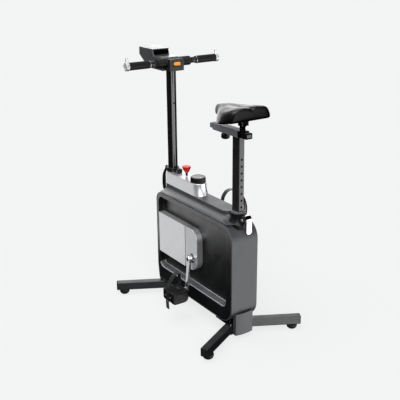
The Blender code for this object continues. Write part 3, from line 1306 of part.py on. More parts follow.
def seat_sleeve():
    """The black sleeve that holds the seat post, with the lever's round boss behind."""
    y, z = seat_lever_axis()
    profile = [(0, SLEEVE_TOP), (SLEEVE_RADIUS - 0.001, SLEEVE_TOP), (SLEEVE_RADIUS, SLEEVE_TOP - 0.002),
               (SLEEVE_RADIUS, SLEEVE_BOTTOM), (0, SLEEVE_BOTTOM)]
    sleeve = turned("seat_sleeve", profile, "Z", (0, SEAT_POST_Y, 0), 28)
    start = SEAT_BOSS_X
    end = SEAT_BOSS_X + SEAT_BOSS_WIDTH
    boss = rod("sleeve_boss", "X", (0, y, z), SEAT_DRUM_RADIUS, start, end)
    lug = box("sleeve_lug", (start, end), (SEAT_POST_Y + SLEEVE_RADIUS - 0.006, y), (z - 0.012, z + 0.014))
    bore = prism("sleeve_bore", [seat_outline(RUN)], "XY", SLEEVE_BOTTOM - 0.01, SLEEVE_TOP + 0.01)
    pin = rod("sleeve_pin_bore", "X", (0, y, z), LEVER_PIN_RADIUS + RUN, start - 0.01, end + 0.01, 16)
    return finish(cut(join(sleeve, boss, lug), bore, pin), BLACK, 0.45, 0.0)


def seat_lever_axis():
    """The (y, z) axis of the seat clamp's lever."""
    return SEAT_POST_Y + SLEEVE_RADIUS + SEAT_DRUM_RADIUS + SEAT_DRUM_GAP, BODY_TOP + SEAT_DRUM_RADIUS + SEAT_DRUM_RISE


def seat_lever():
    """The bright clamp lever behind the seat sleeve: cam drum, pin, nut and paddle."""
    y, z = seat_lever_axis()
    right = SEAT_BOSS_X - RUN
    left = right - SEAT_LEVER_WIDTH
    nut_start = SEAT_BOSS_X + SEAT_BOSS_WIDTH + RUN
    drum = rod("seat_lever", "X", (0, y, z), SEAT_DRUM_RADIUS, left, right, 24)
    pin = rod("seat_lever_pin", "X", (0, y, z), LEVER_PIN_RADIUS, right - 0.002, nut_start + 0.002, 16)
    nut = rod("seat_lever_nut", "X", (0, y, z), SEAT_DRUM_RADIUS * 0.5, nut_start, nut_start + 0.004)
    half = SEAT_LEVER_WIDTH / 2
    middle = left + half
    low = z - SEAT_LEVER_LENGTH
    outline = rounded([(middle - half, low, half * 0.98), (middle + half, low, half * 0.98),
                       (middle + half, z, 0.0), (middle - half, z, 0.0)], 6)
    face = y + SEAT_DRUM_RADIUS
    paddle = prism("seat_lever_paddle", [outline], "XZ", face - 0.005, face)
    join(drum, pin, nut, paddle)
    pivot_at(drum, (0, y, z))
    return finish(drum, SILVER, 0.15, 1.0)


def seat_post():
    """The flat seat post with index holes behind and the slide head welded on top."""
    post = prism("seat_post", [seat_outline(0)], "XY", SEAT_POST_BOTTOM, HEAD_BOTTOM_Z + RUN)
    head = box("seat_head", (-RAIL_WIDTH / 2 - GAP - HEAD_WALL, RAIL_WIDTH / 2 + GAP + HEAD_WALL),
               (HEAD_FRONT_Y, HEAD_REAR_Y), (HEAD_BOTTOM_Z, HEAD_TOP))
    channel = box("head_channel", (-RAIL_WIDTH / 2 - GAP, RAIL_WIDTH / 2 + GAP),
                  (HEAD_FRONT_Y - 0.01, HEAD_REAR_Y + 0.01), (RAIL_BOTTOM - GAP, RAIL_TOP + GAP))
    bore = prism("seat_post_bore", [seat_outline(-SEAT_POST_WALL)], "XY",
                 SEAT_POST_BOTTOM - 0.01, HEAD_BOTTOM_Z - 0.01)
    first = SLEEVE_TOP + 0.019

    def drill(bm):
        for k in range(SEAT_HOLE_COUNT):
            spot = Vector((0, SEAT_POST_Y + SEAT_POST_LENGTH / 2, first + (k - 1) * SEAT_HOLE_PITCH))
            bmesh.ops.create_cone(bm, cap_ends=True, segments=8, radius1=SEAT_HOLE_RADIUS,
                                  radius2=SEAT_HOLE_RADIUS, depth=0.01,
                                  matrix=Matrix.Translation(spot) @ TURNS["Y"])

    holes = from_bmesh("seat_holes", drill)
    stud = rod("head_stud_hole", "Z", (0, KNOB_Y, 0), ROD_RADIUS + RUN, HEAD_BOTTOM_Z - 0.01, RAIL_BOTTOM, 16)
    return finish(cut(join(post, head), channel, bore, holes, stud), (0.13, 0.13, 0.135), 0.35, 0.5)


def saddle_rail():
    """The bar that slides in the post's head, with the tilt pillar welded round its rear end."""
    rail = box("saddle_rail", (-RAIL_WIDTH / 2, RAIL_WIDTH / 2), (RAIL_FRONT_Y, RAIL_REAR_Y),
               (RAIL_BOTTOM, RAIL_TOP))
    bevel(rail, 0.001)
    start = HEAD_REAR_Y + RUN
    half = RAIL_WIDTH / 2 + PILLAR_WALL
    block = box("pillar_block", (-half, half), (start, start + PILLAR_LENGTH),
                (RAIL_BOTTOM - PILLAR_LIP, RAIL_TOP + PILLAR_WALL))
    stem = box("pillar_stem", (-PILLAR_WIDTH / 2, PILLAR_WIDTH / 2),
               (TILT_Y - TILT_EYE_RADIUS, TILT_Y + TILT_EYE_RADIUS), (RAIL_TOP + 0.004, TILT_Z))
    eye = rod("pillar_eye", "X", (0, TILT_Y, TILT_Z), TILT_EYE_RADIUS, -PILLAR_WIDTH / 2, PILLAR_WIDTH / 2)
    bore = rod("pillar_bore", "X", (0, TILT_Y, TILT_Z), TILT_PIN_RADIUS + RUN, -0.03, 0.03, 16)
    return finish(cut(join(rail, block, stem, eye), bore), (0.13, 0.13, 0.135), 0.35, 0.5)


def rail_knob():
    """The knob under the slide head, with its stud against the rail."""
    top = HEAD_BOTTOM_Z - 0.005
    bottom = top - KNOB_HEIGHT
    profile = [(0, RAIL_BOTTOM - GAP), (ROD_RADIUS, RAIL_BOTTOM - GAP), (ROD_RADIUS, top),
               (KNOB_RADIUS - 0.004, top), (KNOB_RADIUS, top - 0.004), (KNOB_RADIUS, bottom + 0.005),
               (KNOB_RADIUS - 0.005, bottom), (0, bottom)]
    return finish(turned("rail_knob", profile, "Z", (0, KNOB_Y, 0), 20), BLACK, 0.5, 0.0)


# The cushion's stations: share of length, then half width, rim, side and top as shares of its size
SADDLE_STATIONS = (
    (0.00, 0.16, 0.20, 0.40, 0.58), (0.22, 0.32, 0.05, 0.38, 0.80), (0.44, 0.78, -0.03, 0.34, 0.84),
    (0.65, 1.05, 0.02, 0.40, 0.90), (0.85, 1.03, 0.18, 0.54, 1.01), (0.965, 0.93, 0.26, 0.60, 1.04),
    (1.00, 0.80, 0.32, 0.62, 0.98))


def saddle_half_width(t):
    """Half the saddle's width at a share t of its length from the nose."""
    for near, far in zip(SADDLE_STATIONS, SADDLE_STATIONS[1:]):
        if t <= far[0]:
            blend = (t - near[0]) / (far[0] - near[0])
            return SADDLE_WIDTH / 2 * (near[1] + (far[1] - near[1]) * blend)
    return SADDLE_WIDTH / 2 * SADDLE_STATIONS[-1][1]


def saddle_base_outline(grow):
    """The hard base seen from above, drawn out by a margin."""
    steps = 8
    inset = SADDLE_BASE_INSET - grow
    shares = [0.24 + 0.58 * k / steps for k in range(steps + 1)]
    loop = [(saddle_half_width(t) - inset, SADDLE_FRONT_Y + SADDLE_LENGTH * t) for t in shares]
    loop[0] = (loop[0][0], loop[0][1] - grow)
    loop[-1] = (loop[-1][0], loop[-1][1] + grow)
    return loop + [(-x, y) for x, y in reversed(loop)]


def saddle_base():
    """The saddle's hard base with its tilt fork and pin."""
    base = prism("saddle_base", [saddle_base_outline(0)], "XY",
                 SADDLE_BASE_BOTTOM, SADDLE_BASE_BOTTOM + SADDLE_BASE_THICKNESS)
    inner = PILLAR_WIDTH / 2 + RUN
    low = TILT_Z - TILT_PIN_RADIUS - 0.003
    cheeks = [box("saddle_cheek", (edge * inner, edge * (inner + 0.005)), (TILT_Y - 0.014, TILT_Y + 0.014),
                  (low, SADDLE_BASE_BOTTOM + 0.002)) for edge in (1, -1)]
    pin = rod("saddle_pin", "X", (0, TILT_Y, TILT_Z), TILT_PIN_RADIUS, -inner - 0.004, inner + 0.004, 16)
    join(base, *cheeks, pin)
    pivot_at(base, (0, TILT_Y, TILT_Z))
    return finish(base, BLACK, 0.6, 0.0)


def saddle_ring(share, width, rim, side, top):
    """The cushion cage's section at one station, as ten points round."""
    half = width * SADDLE_WIDTH / 2
    y = SADDLE_FRONT_Y + SADDLE_LENGTH * share
    low = SADDLE_BOTTOM + SADDLE_HEIGHT * rim
    middle = SADDLE_BOTTOM + SADDLE_HEIGHT * side
    high = SADDLE_BOTTOM + SADDLE_HEIGHT * top
    drop = SADDLE_CHANNEL * min(max((share - 0.1) / 0.5, 0.0), 1.0)
    lean = SADDLE_LEAN * share
    right = [(half * 0.36, y - lean, high), (half * 0.80, y - lean, high - SADDLE_HEIGHT * 0.08),
             (half * 0.95, y, middle), (half, y + lean, low)]
    left = [(-x, far, z) for x, far, z in reversed(right)]
    return [(0, y - lean, high - drop), *right, (0, y + lean, low), *left]


def saddle_cushion():
    """The padded saddle: crowned wings, drawn-in sides and a shallow centre channel."""
    cushion = loft("saddle_cushion", [saddle_ring(*station) for station in SADDLE_STATIONS])
    bm = bmesh.new()
    bm.from_mesh(cushion.data)
    bmesh.ops.recalc_face_normals(bm, faces=bm.faces)
    bm.to_mesh(cushion.data)
    bm.free()
    soft = cushion.modifiers.new("soft", "SUBSURF")
    soft.levels = 2
    soft.render_levels = 2
    recess = prism("saddle_recess", [saddle_base_outline(GAP)], "XY", SADDLE_BASE_BOTTOM - 0.03,
                   SADDLE_BASE_BOTTOM + SADDLE_BASE_THICKNESS + GAP)
    cut(cushion, recess)
    pivot_at(cushion, (0, TILT_Y, TILT_Z))
    return finish(cushion, BLACK, 0.6, 0.0)


def build():
    """Make every sub-part."""
    main_frame()
    body_band()
    spine_cover()
    control_bar()
    for name, side in (("left", 1), ("right", -1)):
        side_panel(name + "_side_panel", side)
        belt_cover(name + "_belt_cover", side)
        handle_arm(name + "_handle_arm", side)
        grip(name + "_grip", side)
        down = -side
        z = CRANK_Z + down * CRANK_LENGTH
        crank(name + "_crank", side, down)
        pedal_axle(name + "_pedal_axle", side, z)
        pedal(name + "_pedal", side, z)
        for end_name, end in (("front", -1), ("rear", 1)):
            corner = end_name + "_" + name
            leg(corner + "_leg", side, end)
            leg_pin(corner + "_leg_pin", side, end)
            foot(corner + "_foot", side, end)
    strap("left_strap", 1, PEDAL_DOWN_Z, LEFT_STRAP, LEFT_STRAP_HEIGHT)
    strap("right_strap", -1, PEDAL_UP_Z, RIGHT_STRAP, RIGHT_STRAP_HEIGHT)
    leg_bracket("front_bracket", -1)
    leg_bracket("rear_bracket", 1)
    crank_axle()
    bottom_bracket()
    drive_pulley()
    drive_belt()
    flywheel()
    flywheel_axle()
    magnet_arm()
    tension_cable()
    resistance_dial()
    stop_knob()
    brake_rod()
    brake_spring()
    handlebar_post()
    handlebar_collar()
    handlebar_lever()
    handlebar_yoke()
    release_button()
    console_body()
    console_display()
    seat_sleeve()
    seat_lever()
    seat_post()
    saddle_rail()
    rail_knob()
    saddle_base()
    saddle_cushion()


def centre_over_origin():
    """Move the whole bike so that the middle of its length lies at y = 0."""
    rear = max(y for _, y in cap_outline(1, 1))
    shift = -(CONSOLE_FRONT_Y + rear) / 2
    for thing in [*PARTS.objects, *TOOLS.objects]:
        thing.location.y += shift


build()
centre_over_origin()
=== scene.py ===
"""A folding upright exercise bike on a pale floor, seen from its left rear.

Millimetres, +Z up: surface() turns them to metres, and the stage alone is in
metres. The rider faces -Y and the rider's left is +X. Places along Y are
counted from the crank's axle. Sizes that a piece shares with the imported
solids are read from their boxes.
"""
import json
import math

import bmesh
import bpy
import numpy as np
from mathutils import Matrix, Vector

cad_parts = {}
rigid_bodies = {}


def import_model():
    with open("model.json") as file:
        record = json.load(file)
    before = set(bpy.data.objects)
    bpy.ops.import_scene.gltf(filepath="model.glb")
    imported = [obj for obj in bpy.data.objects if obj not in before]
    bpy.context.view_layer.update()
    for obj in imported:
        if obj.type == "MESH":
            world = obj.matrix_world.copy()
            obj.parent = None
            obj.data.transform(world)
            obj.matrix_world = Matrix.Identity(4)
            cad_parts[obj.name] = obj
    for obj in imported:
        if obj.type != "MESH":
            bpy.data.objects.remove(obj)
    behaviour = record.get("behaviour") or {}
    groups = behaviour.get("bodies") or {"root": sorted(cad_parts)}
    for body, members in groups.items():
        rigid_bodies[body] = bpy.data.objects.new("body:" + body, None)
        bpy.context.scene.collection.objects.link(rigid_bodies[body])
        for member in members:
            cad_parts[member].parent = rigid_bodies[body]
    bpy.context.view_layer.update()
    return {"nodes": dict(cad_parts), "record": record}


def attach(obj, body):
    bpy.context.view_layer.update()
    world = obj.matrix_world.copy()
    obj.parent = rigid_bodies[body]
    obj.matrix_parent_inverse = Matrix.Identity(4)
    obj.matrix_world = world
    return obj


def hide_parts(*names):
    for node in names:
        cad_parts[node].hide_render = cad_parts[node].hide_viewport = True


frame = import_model()
nodes = frame["nodes"]

MM = 0.001
SIDES = ((1, "left"), (-1, "right"))


def read(items, key):
    """One three-number property of all items of a mesh, as an array."""
    values = np.empty(len(items) * 3)
    items.foreach_get(key, values)
    return values.reshape(-1, 3)


axle_span = read(nodes["crank_axle"].data.vertices, "co")[:, 1] / MM
AXLE_Y = round(float(axle_span.min() + axle_span.max()) / 2, 3)     # the crank's axle in the frame


def box(node):
    """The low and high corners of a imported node, to a hundredth, with Y from the crank's axle."""
    place = read(nodes[node].data.vertices, "co") / MM - (0, AXLE_Y, 0)
    return np.round((place.min(0), place.max(0)), 2)


GAP = 0.3                   # between two pieces that lie against one another
AXLE_Z = box("crank_axle").mean(0)[2]
(_, CASE_FRONT, CASE_LOW), (HALF, CASE_REAR, CASE_TOP) = box("body_band")
CASE_ROUND = 80.0           # the case's two rear corners from the side
(COVER_BASE, COVER_FRONT, COVER_LOW), (_, COVER_REAR, COVER_TOP) = box("left_belt_cover")
RECESS_X = COVER_BASE - GAP                 # the recess floor, from the middle plane
RECESS_FRONT, RECESS_REAR = -293.0, 277.0
RECESS_LOW, RECESS_TOP, RECESS_ROUND = CASE_LOW + 72, CASE_TOP - 24, 30.0
SPINE_TOP = box("spine_cover")[1][2]
BAR_LOW, BAR_TOP = box("control_bar")[:, 2]
POST_Y = box("handlebar_post").mean(0)[1]
_, HANDLE_Y, HANDLE_Z = box("left_grip").mean(0)


def linear(code):
    """An sRGB hex colour as linear red, green, blue and alpha."""
    value = np.array([int(code[k:k + 2], 16) for k in (1, 3, 5)]) / 255
    value = np.where(value <= 0.04045, value / 12.92, ((value + 0.055) / 1.055) ** 2.4)
    return (*value.tolist(), 1.0)


def new_material(name):
    """An empty material with its Principled shader."""
    made = bpy.data.materials.new(name)
    made.use_nodes = True
    return made, made.node_tree, made.node_tree.nodes["Principled BSDF"]


def add_node(tree, kind, inputs=None, stops=()):
    """One node: each input's value or the output that feeds it, and a colour ramp's (place, hex) stops."""
    made = tree.nodes.new(kind)
    for at, (place, code) in enumerate(stops):
        element = made.color_ramp.elements[at]
        element.position = place
        element.color = linear(code)
    for key, value in (inputs or {}).items():
        if isinstance(value, bpy.types.NodeSocket):
            tree.links.new(value, made.inputs[key])
        else:
            made.inputs[key].default_value = value
    return made


PATCH_MM = 60.0             # how far apart the slow colour patches of a moulding or a coat lie


def surface_finish(name, dark, light, rough, metal=0.0, grain_mm=1.0, bump=0.05, coat=0.0, coat_rough=0.1,
                   rough_spread=0.06, gloss=0.5):
    """A finish with slow colour patches, a roughness that follows them and a small surface grain."""
    made, tree, shader = new_material(name)
    place = add_node(tree, "ShaderNodeTexCoord").outputs["Object"]
    patch = add_node(tree, "ShaderNodeTexNoise", {
        "Vector": place, "Scale": 1000 / PATCH_MM, "Detail": 3.0}).outputs["Fac"]
    shade = add_node(tree, "ShaderNodeValToRGB", {"Fac": patch}, ((0.3, dark), (0.7, light)))
    tree.links.new(shade.outputs["Color"], shader.inputs["Base Color"])
    grain = add_node(tree, "ShaderNodeTexNoise", {
        "Vector": place, "Scale": 1000 / grain_mm, "Detail": 2.0}).outputs["Fac"]
    spread = add_node(tree, "ShaderNodeMapRange", {
        "Value": patch, "From Min": 0.3, "From Max": 0.7, "To Min": rough - rough_spread,
        "To Max": rough + rough_spread})
    tree.links.new(spread.outputs["Result"], shader.inputs["Roughness"])
    shader.inputs["Metallic"].default_value = metal
    shader.inputs["Coat Weight"].default_value = coat
    shader.inputs["Coat Roughness"].default_value = coat_rough
    shader.inputs["Specular IOR Level"].default_value = gloss
    if bump > 0:
        relief = add_node(tree, "ShaderNodeBump", {
            "Height": grain, "Strength": bump, "Distance": grain_mm / 1000})
        tree.links.new(relief.outputs["Normal"], shader.inputs["Normal"])
    return made


# Spark-eroded moulding grain on satin ABS, drawn at 1.2 mm where the real one is 0.3
ABS_CASE = surface_finish("moulded_abs_graphite", "#3e3f42", "#434447", 0.42, grain_mm=1.2, bump=0.03)
# Painted shade: the same plastic, a shade deeper, on the side panels and in their recess, which face away
# from the light
ABS_SIDE_PAINTED_SHADE = surface_finish("moulded_abs_side_painted_shade", "#111213", "#141516", 0.34, grain_mm=1.2, bump=0.02,
                            gloss=0.3)
# Painted highlight: a lighter copy of the same plastic on the up-facing lip and ledge at the bottom of the
# recess, where light from above falls
ABS_LEDGE_PAINTED_LIGHT = surface_finish("abs_ledge_painted_light", "#7e7f84", "#86878c", 0.38, grain_mm=1.2, bump=0.02)
# Satin ABS of the console's hood
ABS_CONSOLE = surface_finish("moulded_abs_console", "#3a3b3d", "#404143", 0.36, grain_mm=1.2, bump=0.02)
# Black ABS for clamps and covers: dark, with a dull highlight
ABS_BLACK = surface_finish("moulded_abs_black", "#0e0e0f", "#121213", 0.38, bump=0.04, gloss=0.28)
# Silver lacquer over ABS: fine metal flake, soft highlight
SILVER = surface_finish("silver_lacquered_abs", "#d6d7d9", "#dcddde", 0.38, metal=0.8, grain_mm=0.8,
                        bump=0.015, rough_spread=0.03)
# Painted shade: the same lacquer, darker on the cover's lower rear field, for the darker part of the room it
# faces
SILVER_PAINTED_SHADE = surface_finish("silver_lacquered_abs_painted_shade", "#bfc0c2", "#c6c7c9", 0.38, metal=0.8, grain_mm=0.8,
                             bump=0.015, rough_spread=0.03)
# Powder coat: slight orange peel, about 1.5 mm between peaks
POWDER = surface_finish("powder_coated_steel", "#242527", "#28292b", 0.42, grain_mm=1.5, bump=0.06)
# Black stoving enamel: deep and glossy
ENAMEL = surface_finish("black_enamelled_steel", "#0c0c0d", "#101011", 0.22, grain_mm=2.0, bump=0.01,
                        coat=0.4, coat_rough=0.08, rough_spread=0.03)
# Dark grey enamel of the seat post: satin, with a narrow highlight down its edges
POST_GREY = surface_finish("grey_enamelled_steel", "#1e1e1f", "#232324", 0.34, grain_mm=1.5, bump=0.02,
                           rough_spread=0.03)
# Aluminium-grey lacquer of the slide rail, its head channel and the sleeve's ring: flat and even
RAIL_GREY = surface_finish("satin_lacquered_steel", "#55565a", "#5d5e62", 0.45, grain_mm=1.2, bump=0.03,
                           gloss=0.4)
# Alloy of the arms and their caps, blasted before plating, so they stay light from every side
SATIN = surface_finish("satin_chromed_alloy", "#e4e4e6", "#ececee", 0.32, metal=0.35, bump=0.02,
                       rough_spread=0.03)
# Chrome plate: nearly clean mirror with faint polishing haze
CHROME = surface_finish("chrome_plated_steel", "#d8d8da", "#e0e0e2", 0.12, metal=1.0, grain_mm=3.0,
                        bump=0.004, rough_spread=0.03)
# Forged aluminium, polished: softer than chrome
ALLOY = surface_finish("polished_aluminium", "#c9cacc", "#d2d3d5", 0.22, metal=1.0, grain_mm=2.0, bump=0.01,
                       rough_spread=0.05)
# Zinc-plated steel of pins, bolts and axles: grey and half dull
ZINC = surface_finish("zinc_plated_steel", "#9fa1a4", "#acaeb0", 0.32, metal=1.0, bump=0.02)
# Grey cast iron with a turned skin
IRON = surface_finish("turned_cast_iron", "#5a5a5c", "#68686a", 0.45, metal=1.0, grain_mm=1.5, bump=0.08)
# Glass-filled nylon of the yoke: dull and a little uneven
NYLON = surface_finish("glass_filled_nylon", "#1c1d1e", "#202122", 0.5, grain_mm=0.9, bump=0.06)
# Natural rubber, dusty black
RUBBER = surface_finish("moulded_rubber", "#121212", "#181818", 0.60, grain_mm=1.5, bump=0.10,
                        rough_spread=0.05, gloss=0.25)
# Closed-cell EVA foam: open pores about 1 mm across
FOAM = surface_finish("eva_foam", "#0d0d0e", "#121213", 0.60, bump=0.25, gloss=0.3)
# Thermoplastic strap rubber, smoother than the feet
STRAP = surface_finish("thermoplastic_strap", "#1c1c1e", "#242426", 0.5, grain_mm=1.2, bump=0.06, gloss=0.4)
# Red ABS of the stop knob: a strong, even colour with a soft shine
RED = surface_finish("gloss_abs_red", "#c40e10", "#cd1213", 0.32, grain_mm=2.0, bump=0.01, gloss=0.25)
# Orange ABS of the key: flat, with hardly a highlight
ORANGE = surface_finish("moulded_abs_orange", "#f8951c", "#fc9e26", 0.40, bump=0.03, gloss=0.35)
# Display window: clear acrylic over black print
WINDOW = surface_finish("black_backed_acrylic", "#060607", "#08080a", 0.08, grain_mm=5.0, bump=0.0, coat=1.0,
                        coat_rough=0.03, rough_spread=0.02)
# PU leathercloth of the saddle: fine calf-like grain
VINYL = surface_finish("pu_leathercloth", "#101011", "#161617", 0.40, grain_mm=1.6, bump=0.08)

CAD_FINISH = {
    "case_grey": ABS_CASE, "leg_paint": POWDER, "belt_rubber": RUBBER, "foot_rubber": RUBBER,
    "pin_steel": ZINC, "silver_paint": SILVER, "frame_steel": ENAMEL, "post_black": ENAMEL,
    "flywheel_iron": IRON, "crank_metal": ALLOY, "drive_plastic": ABS_BLACK, "pedal_plastic": ABS_BLACK,
    "dial_plastic": ABS_BLACK, "cable_plastic": ABS_BLACK, "collar_plastic": ABS_BLACK,
    "strap_rubber": STRAP, "knob_red": RED, "yoke_plastic": NYLON, "button_orange": ORANGE,
    "polished_metal": CHROME, "grip_foam": FOAM, "display_glass": WINDOW, "post_grey": POST_GREY,
    "saddle_vinyl": VINYL,
}

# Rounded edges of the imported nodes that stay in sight; the others get the least
EDGE_ROUND = {
    "front_bracket": 1.5, "rear_bracket": 1.5, "body_band": 1.5, "handlebar_yoke": 2.0, "console_body": 1.5,
    "saddle_rail": 1.2, "saddle_base": 1.0, "left_pedal": 1.5, "right_pedal": 1.5,
}
LEAST_ROUND = 0.6
BRACKET_PLATE = 10.5        # no face of a bracket's dark hinge plate is taller than this


def dress_cad_nodes():
    """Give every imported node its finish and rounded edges, and the brackets' hinge plates a darker one."""
    slots = {part["node"]: part["material_slot"] for part in frame["record"]["subparts"]}
    for name, thing in nodes.items():
        mesh = thing.data
        mesh.materials.clear()
        mesh.materials.append(CAD_FINISH[slots[name]])
        if name.endswith("_bracket"):
            mesh.materials.append(ENAMEL)
            corner = np.empty(len(mesh.loops), int)
            mesh.loops.foreach_get("vertex_index", corner)
            height = np.ptp(read(mesh.vertices, "co")[corner.reshape(-1, 3), 2], axis=1) / MM
            mesh.polygons.foreach_set("material_index", (height < BRACKET_PLATE).astype(int))
        mesh.polygons.foreach_set("use_smooth", np.ones(len(mesh.polygons), bool))
        thing.modifiers.new("weld", "WELD").merge_threshold = 0.01 * MM
        flat = thing.modifiers.new("flat_faces", "DECIMATE")
        flat.decimate_type = "DISSOLVE"
        flat.angle_limit = math.radians(0.5)
        edge = thing.modifiers.new("edge", "BEVEL")
        edge.width = EDGE_ROUND.get(name, LEAST_ROUND) * MM
        edge.segments = 2
        edge.limit_method = "ANGLE"
        edge.angle_limit = math.radians(34)
        thing.modifiers.new("shading", "WEIGHTED_NORMAL")


dress_cad_nodes()


def face_outwards(mesh):
    """Merge a mesh's doubles, and turn its faces outwards."""
    bm = bmesh.new()
    bm.from_mesh(mesh)
    bmesh.ops.remove_doubles(bm, verts=bm.verts, dist=0.002 * MM)
    bmesh.ops.recalc_face_normals(bm, faces=bm.faces)
    bm.to_mesh(mesh)
    bm.free()


def surface(name, points, faces, body, finish, replaced="", sharp=35.0, thick=0.0):
    """An outward mesh over worked-out points that rides on a body; a sheet gets its thickness here."""
    mesh = bpy.data.meshes.new(name)
    mesh.from_pydata(((points + np.array((0, AXLE_Y, 0))) * MM).tolist(), [], faces)
    face_outwards(mesh)
    mesh.shade_smooth()
    mesh.set_sharp_from_angle(angle=math.radians(sharp))
    mesh.materials.append(finish)
    thing = bpy.data.objects.new(name, mesh)
    bpy.context.scene.collection.objects.link(thing)
    if thick:
        wall = thing.modifiers.new("thickness", "SOLIDIFY")
        wall.thickness, wall.offset = thick * MM, 0.0
    else:
        thing.modifiers.new("shading", "WEIGHTED_NORMAL").keep_sharp = True
    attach(thing, body)
    if replaced:
        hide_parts(replaced)
    return thing


def skin_faces(rings, count, closed_rings=False, start=0):
    """Faces of a skin over rings of count points: quads between rings, and an end face on each open end."""
    level, i = np.meshgrid(np.arange(rings if closed_rings else rings - 1), np.arange(count), indexing="ij")
    j = (i + 1) % count
    low, high = start + level * count, start + (level + 1) % rings * count
    faces = np.stack([low + i, low + j, high + j, high + i], -1).reshape(-1, 4).tolist()
    if not closed_rings:
        last = start + (rings - 1) * count
        faces += [list(range(start, start + count)), list(range(last, last + count))]
    return faces


def skins(name, lofts, body, finish, replaced="", slot="", closed_rings=False, sharp=35.0):
    """Closed skins as one piece, each over a loft: an array of (ring, point, xyz)."""
    points, faces, start = [], [], 0
    for rings in lofts:
        rings = np.asarray(rings, float)
        faces += skin_faces(*rings.shape[:2], closed_rings, start)
        points.append(rings.reshape(-1, 3))
        start += len(points[-1])
    return surface(name, np.concatenate(points), faces, body, finish, replaced, sharp)


def skin(name, rings, *given, **settings):
    """One closed skin over rings."""
    return skins(name, [rings], *given, **settings)


def rounded(corners, steps=10):
    """A closed outline from (u, v, radius) corners, each an arc of steps + 1 points tangent to its sides."""
    points = []
    count = len(corners)
    for index, (u, v, radius) in enumerate(corners):
        here = np.array((u, v), float)
        if radius <= 0:
            points.append(here[None])
            continue
        before = np.array(corners[index - 1][:2]) - here
        after = np.array(corners[(index + 1) % count][:2]) - here
        before /= np.linalg.norm(before)
        after /= np.linalg.norm(after)
        half = math.acos(float(np.clip(before @ after, -1, 1))) / 2
        middle = before + after
        centre = here + middle / np.linalg.norm(middle) * (radius / math.sin(half))
        start = here + before * (radius / math.tan(half)) - centre
        end = here + after * (radius / math.tan(half)) - centre
        first = math.atan2(start[1], start[0])
        sweep = (math.atan2(end[1], end[0]) - first + math.pi) % (2 * math.pi) - math.pi
        angle = first + sweep * np.linspace(0, 1, steps + 1)
        points.append(centre + radius * np.stack([np.cos(angle), np.sin(angle)], 1))
    return np.concatenate(points)


def drawn_in(corners, inset):
    """(u, v, radius) corners of a counter-clockwise outline, with each edge moved inwards by an inset."""
    place = np.array([c[:2] for c in corners], float)
    run = np.roll(place, -1, 0) - place
    run /= np.linalg.norm(run, axis=1)[:, None]
    inward = np.stack([-run[:, 1], run[:, 0]], 1)
    before = np.roll(inward, 1, 0)
    shift = (inward + before) / (1 + (inward * before).sum(1))[:, None]
    moved = place + inset * shift
    return rounded([(u, v, max(c[2] - inset, 0.3)) for (u, v), c in zip(moved, corners)], 6)


def arc(radius, first, last, steps):
    """Points of an arc about (0, 0), from a first to a last angle in degrees."""
    angle = np.radians(np.linspace(first, last, steps + 1))
    return radius * np.stack([np.cos(angle), np.sin(angle)], 1)


def quarter(radius, steps=5):
    """(inset, drop) pairs of a quarter round, from the side wall up to the face."""
    return radius - arc(radius, 0, 90, steps)


def lay(outline, level, plane):
    """Lift a flat (u, v) outline to 3D: YZ at x = level, XZ at y = level, XY at z = level."""
    u, v = outline[:, 0], outline[:, 1]
    w = np.full(len(u), float(level))
    return np.stack({"YZ": (w, u, v), "XZ": (u, w, v), "XY": (u, v, w)}[plane], 1)


def plate_rings(outline_at, low, high, plane, round_low, round_high, steps=4):
    """Rings of a plate whose outline is a function of its inset, with a quarter round at each face."""
    rings = [lay(outline_at(inset), low + drop, plane) for inset, drop in quarter(round_low, steps)[::-1]]
    rings += [lay(outline_at(inset), high - drop, plane) for inset, drop in quarter(round_high, steps)]
    return np.array(rings)


def block_outline(u_low, u_high, v_low, v_high, radius, steps=6):
    """A rectangle's outline as a function of its inset, with round corners."""
    def at(inset):
        r = max(radius - inset, 0.2)
        left, right, low, high = u_low + inset, u_high - inset, v_low + inset, v_high - inset
        return rounded([(left, low, r), (right, low, r), (right, high, r), (left, high, r)], steps)
    return at


def around(steps):
    """Even angles once round."""
    return np.linspace(0, 2 * math.pi, steps, endpoint=False)


def lathe(profile, axis, centre, steps=64, side=1):
    """Rings of (radius, height) points carried once round an axis through a centre; radius 0 makes a pole."""
    radius, height = np.asarray(profile, float).T[:, :, None]
    angle = around(steps)
    a, b = radius * np.cos(angle), radius * np.sin(angle)
    h = side * height + 0 * angle
    return np.stack({"X": (h, a, b), "Y": (a, h, b), "Z": (a, b, h)}[axis], -1) + np.array(centre, float)


def turned(name, profile, axis, centre, body, finish, replaced="", slot="", steps=64, sharp=35.0, side=1):
    """A turned piece; on the right side its heights run the other way."""
    return skin(name, lathe(profile, axis, centre, steps, side), body, finish, replaced, slot, sharp=sharp)


CORNER_STEPS = 14           # in each round corner of the case and of its recess, as one skin joins the two


def body_edge(inset):
    """The case from the side, drawn in by an inset."""
    low, high = CASE_LOW + inset, CASE_TOP - inset
    front, rear = CASE_FRONT + inset, CASE_REAR - inset
    return rounded([(front + 10, low, 8), (rear, low, CASE_ROUND - inset), (rear, high, CASE_ROUND - inset),
                    (front, high, 45 - inset), (front, CASE_LOW + 75, 0)], CORNER_STEPS)


def recess_edge(grow):
    """The recess from the side, drawn out by a margin, with one more point in front to match the case."""
    front, rear = RECESS_FRONT - grow, RECESS_REAR + grow
    low, high = RECESS_LOW - grow, RECESS_TOP + grow
    radius = RECESS_ROUND + grow
    return rounded([(front, low, radius), (rear, low, radius), (rear, high, radius), (front, high, radius),
                    (front, CASE_LOW + 130, 0)], CORNER_STEPS)


